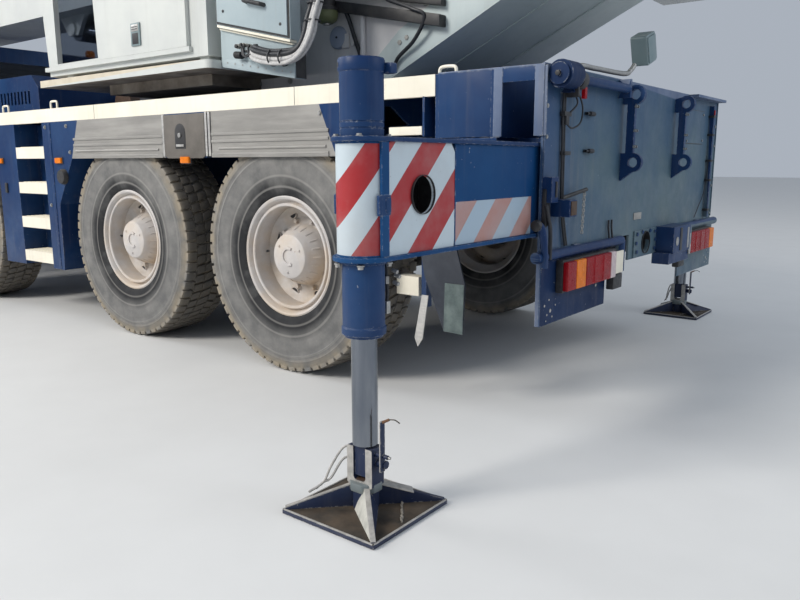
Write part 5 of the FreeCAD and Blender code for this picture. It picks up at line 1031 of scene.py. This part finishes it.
def cabinets():
    m = Maker("cabinet_trim")
    y = 1180
    # door of the upper cabinet, its gasket line, handle and screws
    for front, rear, top, lift, y0, y1, material, bevel in ((608, 8, 2684, 16, y, y + 9, CABINET, 3),
                                                            (622, -6, 2697, 3, y - 2, y + 1.5, DARK, 0)):
        m.prism([(front, slope_z(front) + lift), (front, top), (rear, top), (rear, slope_z(rear) + lift)], "y",
                y0, y1, material, bevel)
    m.tube([(334, y + 8, 2137), (330, y + 34, 2140), (314, y + 40, 2136), (206, y + 40, 2108), (190, y + 34, 2103),
            (186, y + 8, 2101)], 12, BLACK, 12, 4)
    for x, z in ((548, 2110), (60, 1985), (548, 2620), (60, 2620), (548, 2380), (60, 2380)):
        m.bar((x, y + 9, z), (x, y + 12, z), 9, BLACK, 16, 1)
    # rails between the two cabinets, the strip along the valve panel's foot and its rivets
    for lift, out, tall in ((-9, 4, 7), (-24, -14, 5)):
        a, b = slope_z(615) + lift, slope_z(-8) + lift
        m.prism([(615, a - tall), (615, a + tall), (-8, b + tall), (-8, b - tall)], "y", y - 60, y + out, CREAM, 1.5)
    rear, front = slope_z(-10, 1800, 1690), slope_z(612, 1800, 1690)
    m.prism([(-10, rear), (-10, rear + 66), (612, front + 50), (612, front)], "y", 1150, 1156, CABINET, 1)
    for x in range(20, 565, 68):
        z = slope_z(x, 1800, 1690) + 30
        m.bar((x, 1156, z), (x, 1158, z), 5, STEEL, 10)
    m.done("superstructure", "upper_white")


cabinets()


def valve_hoses():
    """Couplings on the valve panel and the bundle that leaves it, rearward and up."""
    m = Maker("valve_hoses")
    face = 1152
    # ribbed socket, valve bodies with caps: X, Z, length out, radius
    for k in range(7):
        m.turned([(10, 0), (21, 0), (21, 5), (10, 5)], (398 + k * 8, face + 34, 1846 + k), "x", BLACK, 24)
    m.bar((396, face + 34, 1846), (456, face + 34, 1853), 15, BLACK, 20, 2)
    m.box(412, 440, face, face + 40, 1834, 1862, BLACK, 4)
    for x, z, out, radius in ((424, 1898, 44, 15), (388, 1906, 38, 10), (352, 1898, 46, 11), (318, 1890, 40, 10),
                              (284, 1878, 48, 11), (372, 1868, 30, 9), (336, 1862, 36, 10), (250, 1868, 34, 9)):
        m.bar((x, face, z), (x, face + out, z), radius, STEEL, 6, 2)
        m.bar((x, face + out, z), (x, face + out + 13, z), radius * 0.8, BLACK, 12, 2)
        m.bar((x - 14, face + out * 0.6, z - 5), (x + 12, face + out * 0.6, z + 4), radius * 0.55, STEEL, 10, 1)
    for start, low, out in ((352, 1830, 66), (318, 1822, 58), (384, 1838, 50)):
        m.tube([(start, face + 40, 1896), (start - 6, face + out, 1874), (start - 24, face + out + 6, low),
                (start - 58, face + out, low + 4), (start - 78, face + 48, low + 24)], 6, HOSE, 10)
    # the bundle: offset from its middle line across and up, radius, material
    line = [(262, 1196, 1842), (130, 1206, 1808), (-6, 1206, 1798), (-82, 1196, 1816), (-124, 1184, 1858),
            (-146, 1168, 1920), (-150, 1150, 1990), (-166, 1120, 2110), (-150, 1080, 2300), (-60, 1000, 2480),
            (60, 940, 2570)]
    for across, lift, radius, material in ((8, 36, 14, HOSE), (22, 18, 13, HOSE), (-10, 20, 14, HOSE),
                                           (14, -6, 14, SLEEVE), (-8, -22, 14, SLEEVE), (22, -30, 12, SLEEVE),
                                           (-24, -2, 10, HOSE)):
        path = [(284 - lift, face + 44, 1868 + lift * 0.4)]
        for k, (x, y, z) in enumerate(line):
            turn = min(1.0, max(0.0, (k - 2) / 3))
            path.append((x + lift * turn, y + across, z + lift * (1 - turn)))
        m.tube(path, radius, material, 12, 8)
    for spot, axis in (((110, 1206, 1806), "x"), ((20, 1208, 1799), "x"), ((-150, 1150, 1985), "z"),
                       ((-158, 1130, 2080), "z")):
        m.turned([(42, -4), (47, -4), (47, 4), (42, 4)], spot, axis, HOSE, 28)
    # black plate behind the valve panel's rear edge: painted shade
    m.box(-14, -11, 1066, 1146, 1694, 1872, BLACK, 0.5)
    m.done("superstructure", "dark_trim")


valve_hoses()


def cheek_fittings():
    """Disc, dome, black bars, hoses and bolts on the platform's left cheek, mirrored where plain."""
    m = Maker("cheek_fittings")
    y = 600
    m.turned([(0, 0), (70, 0), (70, 8), (62, 18), (0, 22)], (155, y, 1993), "y", BLUE_GREY, 48)
    m.bar((155, y + 22, 1993), (155, y + 26, 1993), 7, BLACK, 12)
    dome = (165, y + 98, 0)
    m.turned([(0, 2064), (40, 2066), (62, 2082), (70, 2104), (70, 2140), (0, 2140)], dome, "z", OLIVE)
    m.turned([(0, 2138), (76, 2138), (76, 2158), (58, 2164), (52, 2230), (0, 2230)], dome, "z", BLACK, 40)
    m.turned([(0, 2056), (22, 2056), (24, 2066), (0, 2066)], dome, "z", STEEL, 32)
    # two sloping black guards with a pipe clamp between them
    for z0, z1, tall, out in ((2166, 1986, 46, 70), (2262, 2094, 34, 54)):
        m.prism([(176, z0 + tall), (176, z0 - tall * 0.4), (-661, z1 - tall * 0.4), (-661, z1 + tall)], "y", y,
                y + out, BLACK, 5)
    m.tube([(-300, y + 78, 2150), (-480, y + 86, 2080), (-560, y + 70, 2030), (-470, y + 46, 1915),
            (-341, y + 30, 1830), (-300, y + 20, 1770)], 11, HOSE, 12, 8)
    m.tube([(60, y + 60, 2160), (33, y + 44, 2087), (-8, y + 30, 1960), (-38, y + 24, 1875), (-60, y + 18, 1760)], 13,
           HOSE, 12, 8)
    m.bar((-60, y + 20, 2100), (-60, y + 20, 1780), 17, CHEEK, 16, 2)
    m.box(60, 118, y, y + 16, 1925, 2010, CHEEK, 3)
    m.box(18, 44, y, y + 14, 1935, 1975, CHEEK, 3)
    for side in (1, -1):
        out = "y" if side == 1 else "-y"
        for x, z in ((-334, 1918), (-386, 1941), (-520, 2120), (600, 1760), (900, 1760), (1500, 1750), (1900, 1750)):
            m.bolt((x, side * y, z), out, 15, 12)
        m.turned([(0, 0), (112, 0), (112, side * 16), (96, side * 26), (0, side * 28)], (-350, side * y, 2750), "y",
                 BLACK)
        for t in turns(6):
            m.bolt((-350 + 86 * math.cos(t), side * (y + 22), 2750 + 86 * math.sin(t)), out, 12, 12)
    # foot plate under the tail
    m.box(-340, -200, 470, 640, 1640, 1688, CHEEK)
    m.done("superstructure", "cream")


cheek_fittings()


def tail_skin():
    """The tail's sloping underside and edges in a greener, darker copy of the upper paint, painted shade with light
    bounced from the ground, with two seams.
    """
    m = Maker("tail_skin")
    a, b = (-182, 1688), (-1400, 2260)
    length = math.hypot(b[0] - a[0], b[1] - a[1])
    down = ((b[1] - a[1]) / length, -(b[0] - a[0]) / length)
    out = [(p[0] - down[0] * 7, p[1] - down[1] * 7) for p in (a, b)]
    m.prism([a, b, out[1], out[0]], "y", -606, 606, SHADED_TAIL, 2)
    for side in (1, -1):
        edge = side * 600
        m.prism([a, b, (-1400, 2298), (-900, 2298), (-700, 2180), (-330, 1990), (-100, 1800), (-100, 1700)], "y",
                edge, edge + side * 6, SHADED_TAIL, 1)
    for place in (-240, 240):
        m.prism([(a[0], a[1] - 8), (b[0], b[1] - 8), (b[0], b[1] - 16), (a[0], a[1] - 16)], "y",
                place - 12, place + 12, SHADED_TAIL, 1)
    m.done("superstructure", "upper_white")


tail_skin()


def door_latch():
    m = Maker("door_latch")
    y = 1229
    m.box(1338, 1442, y, y + 10, 1985, 2130, TEAL, 4)
    m.box(1352, 1428, y + 9, y + 13, 2076, 2120, ALUMINIUM, 3)
    m.box(1356, 1424, y + 9, y + 12, 1996, 2066, BLACK, 4)
    for z in (2090, 2104):
        m.box(1358, 1422, y + 12.5, y + 15, z - 2, z + 2, DARK, 0.5)
    m.done("operator_door", "upper_white")


door_latch()


# Stage, lights and the camera of the photograph

PHOTO_WIDTH, PHOTO_FOCAL = 800, 740.2
PHOTO_TURN = (-52.15, -10.55, -0.1)
FLOOR_REACH, FLOOR_Z = 60, -0.0005


def area(name, spot, aim, size, power, colour=(1, 1, 1)):
    data = bpy.data.lights.new(name, "AREA")
    data.shape = "RECTANGLE"
    data.size, data.size_y = size
    data.energy = power
    data.color = colour
    lamp = bpy.data.objects.new(name, data)
    lamp.location = spot
    lamp.rotation_euler = (Vector(aim) - Vector(spot)).to_track_quat("-Z", "Y").to_euler()
    bpy.context.scene.collection.objects.link(lamp)


def stage():
    floor_data = bpy.data.meshes.new("floor")
    floor_data.from_pydata([(x * FLOOR_REACH, y * FLOOR_REACH, FLOOR_Z) for x, y in ((-1, -1), (1, -1), (1, 1),
                                                                                     (-1, 1))], [], [(0, 1, 2, 3)])
    floor = bpy.data.objects.new("floor", floor_data)
    bpy.context.scene.collection.objects.link(floor)
    n = Nodes("floor_grey")
    floor_data.materials.append(n.finish(n.mix(n.noise(3, 4), (0.67, 0.67, 0.66), (0.73, 0.73, 0.72)), 0.75))
    world = bpy.data.worlds.new("studio")
    world.use_nodes = True
    sky = world.node_tree.nodes["Background"].inputs
    sky[0].default_value, sky[1].default_value = (0.80, 0.88, 1.0, 1), 0.5
    bpy.context.scene.world = world
    area("key", (2, 15, 11), (-3, 0, 1.2), (6, 6), 2600, (1, 0.96, 0.90))
    area("fill", (-13, -3, 6), (-3, 0, 1.2), (6, 6), 300, (0.88, 0.94, 1))
    area("front", (12, 5, 9), (0, 0, 1.5), (6, 6), 700)


def camera():
    data = bpy.data.cameras.new("photo_camera")
    data.sensor_width = 36
    data.lens = data.sensor_width * PHOTO_FOCAL / PHOTO_WIDTH
    data.clip_end = 300
    view = bpy.data.objects.new("photo_camera", data)
    view.location = at(-3139, 4218, 1224)
    yaw, pitch, roll = [math.radians(turn) for turn in PHOTO_TURN]
    ahead = Vector((math.cos(yaw) * math.cos(pitch), math.sin(yaw) * math.cos(pitch), math.sin(pitch)))
    view.rotation_euler = (ahead.to_track_quat("-Z", "Y").to_matrix() @ Matrix.Rotation(roll, 3, "Z")).to_euler()
    bpy.context.scene.collection.objects.link(view)
    bpy.context.scene.camera = view


stage()
camera()
bpy.context.scene.view_settings.view_transform = "Standard"
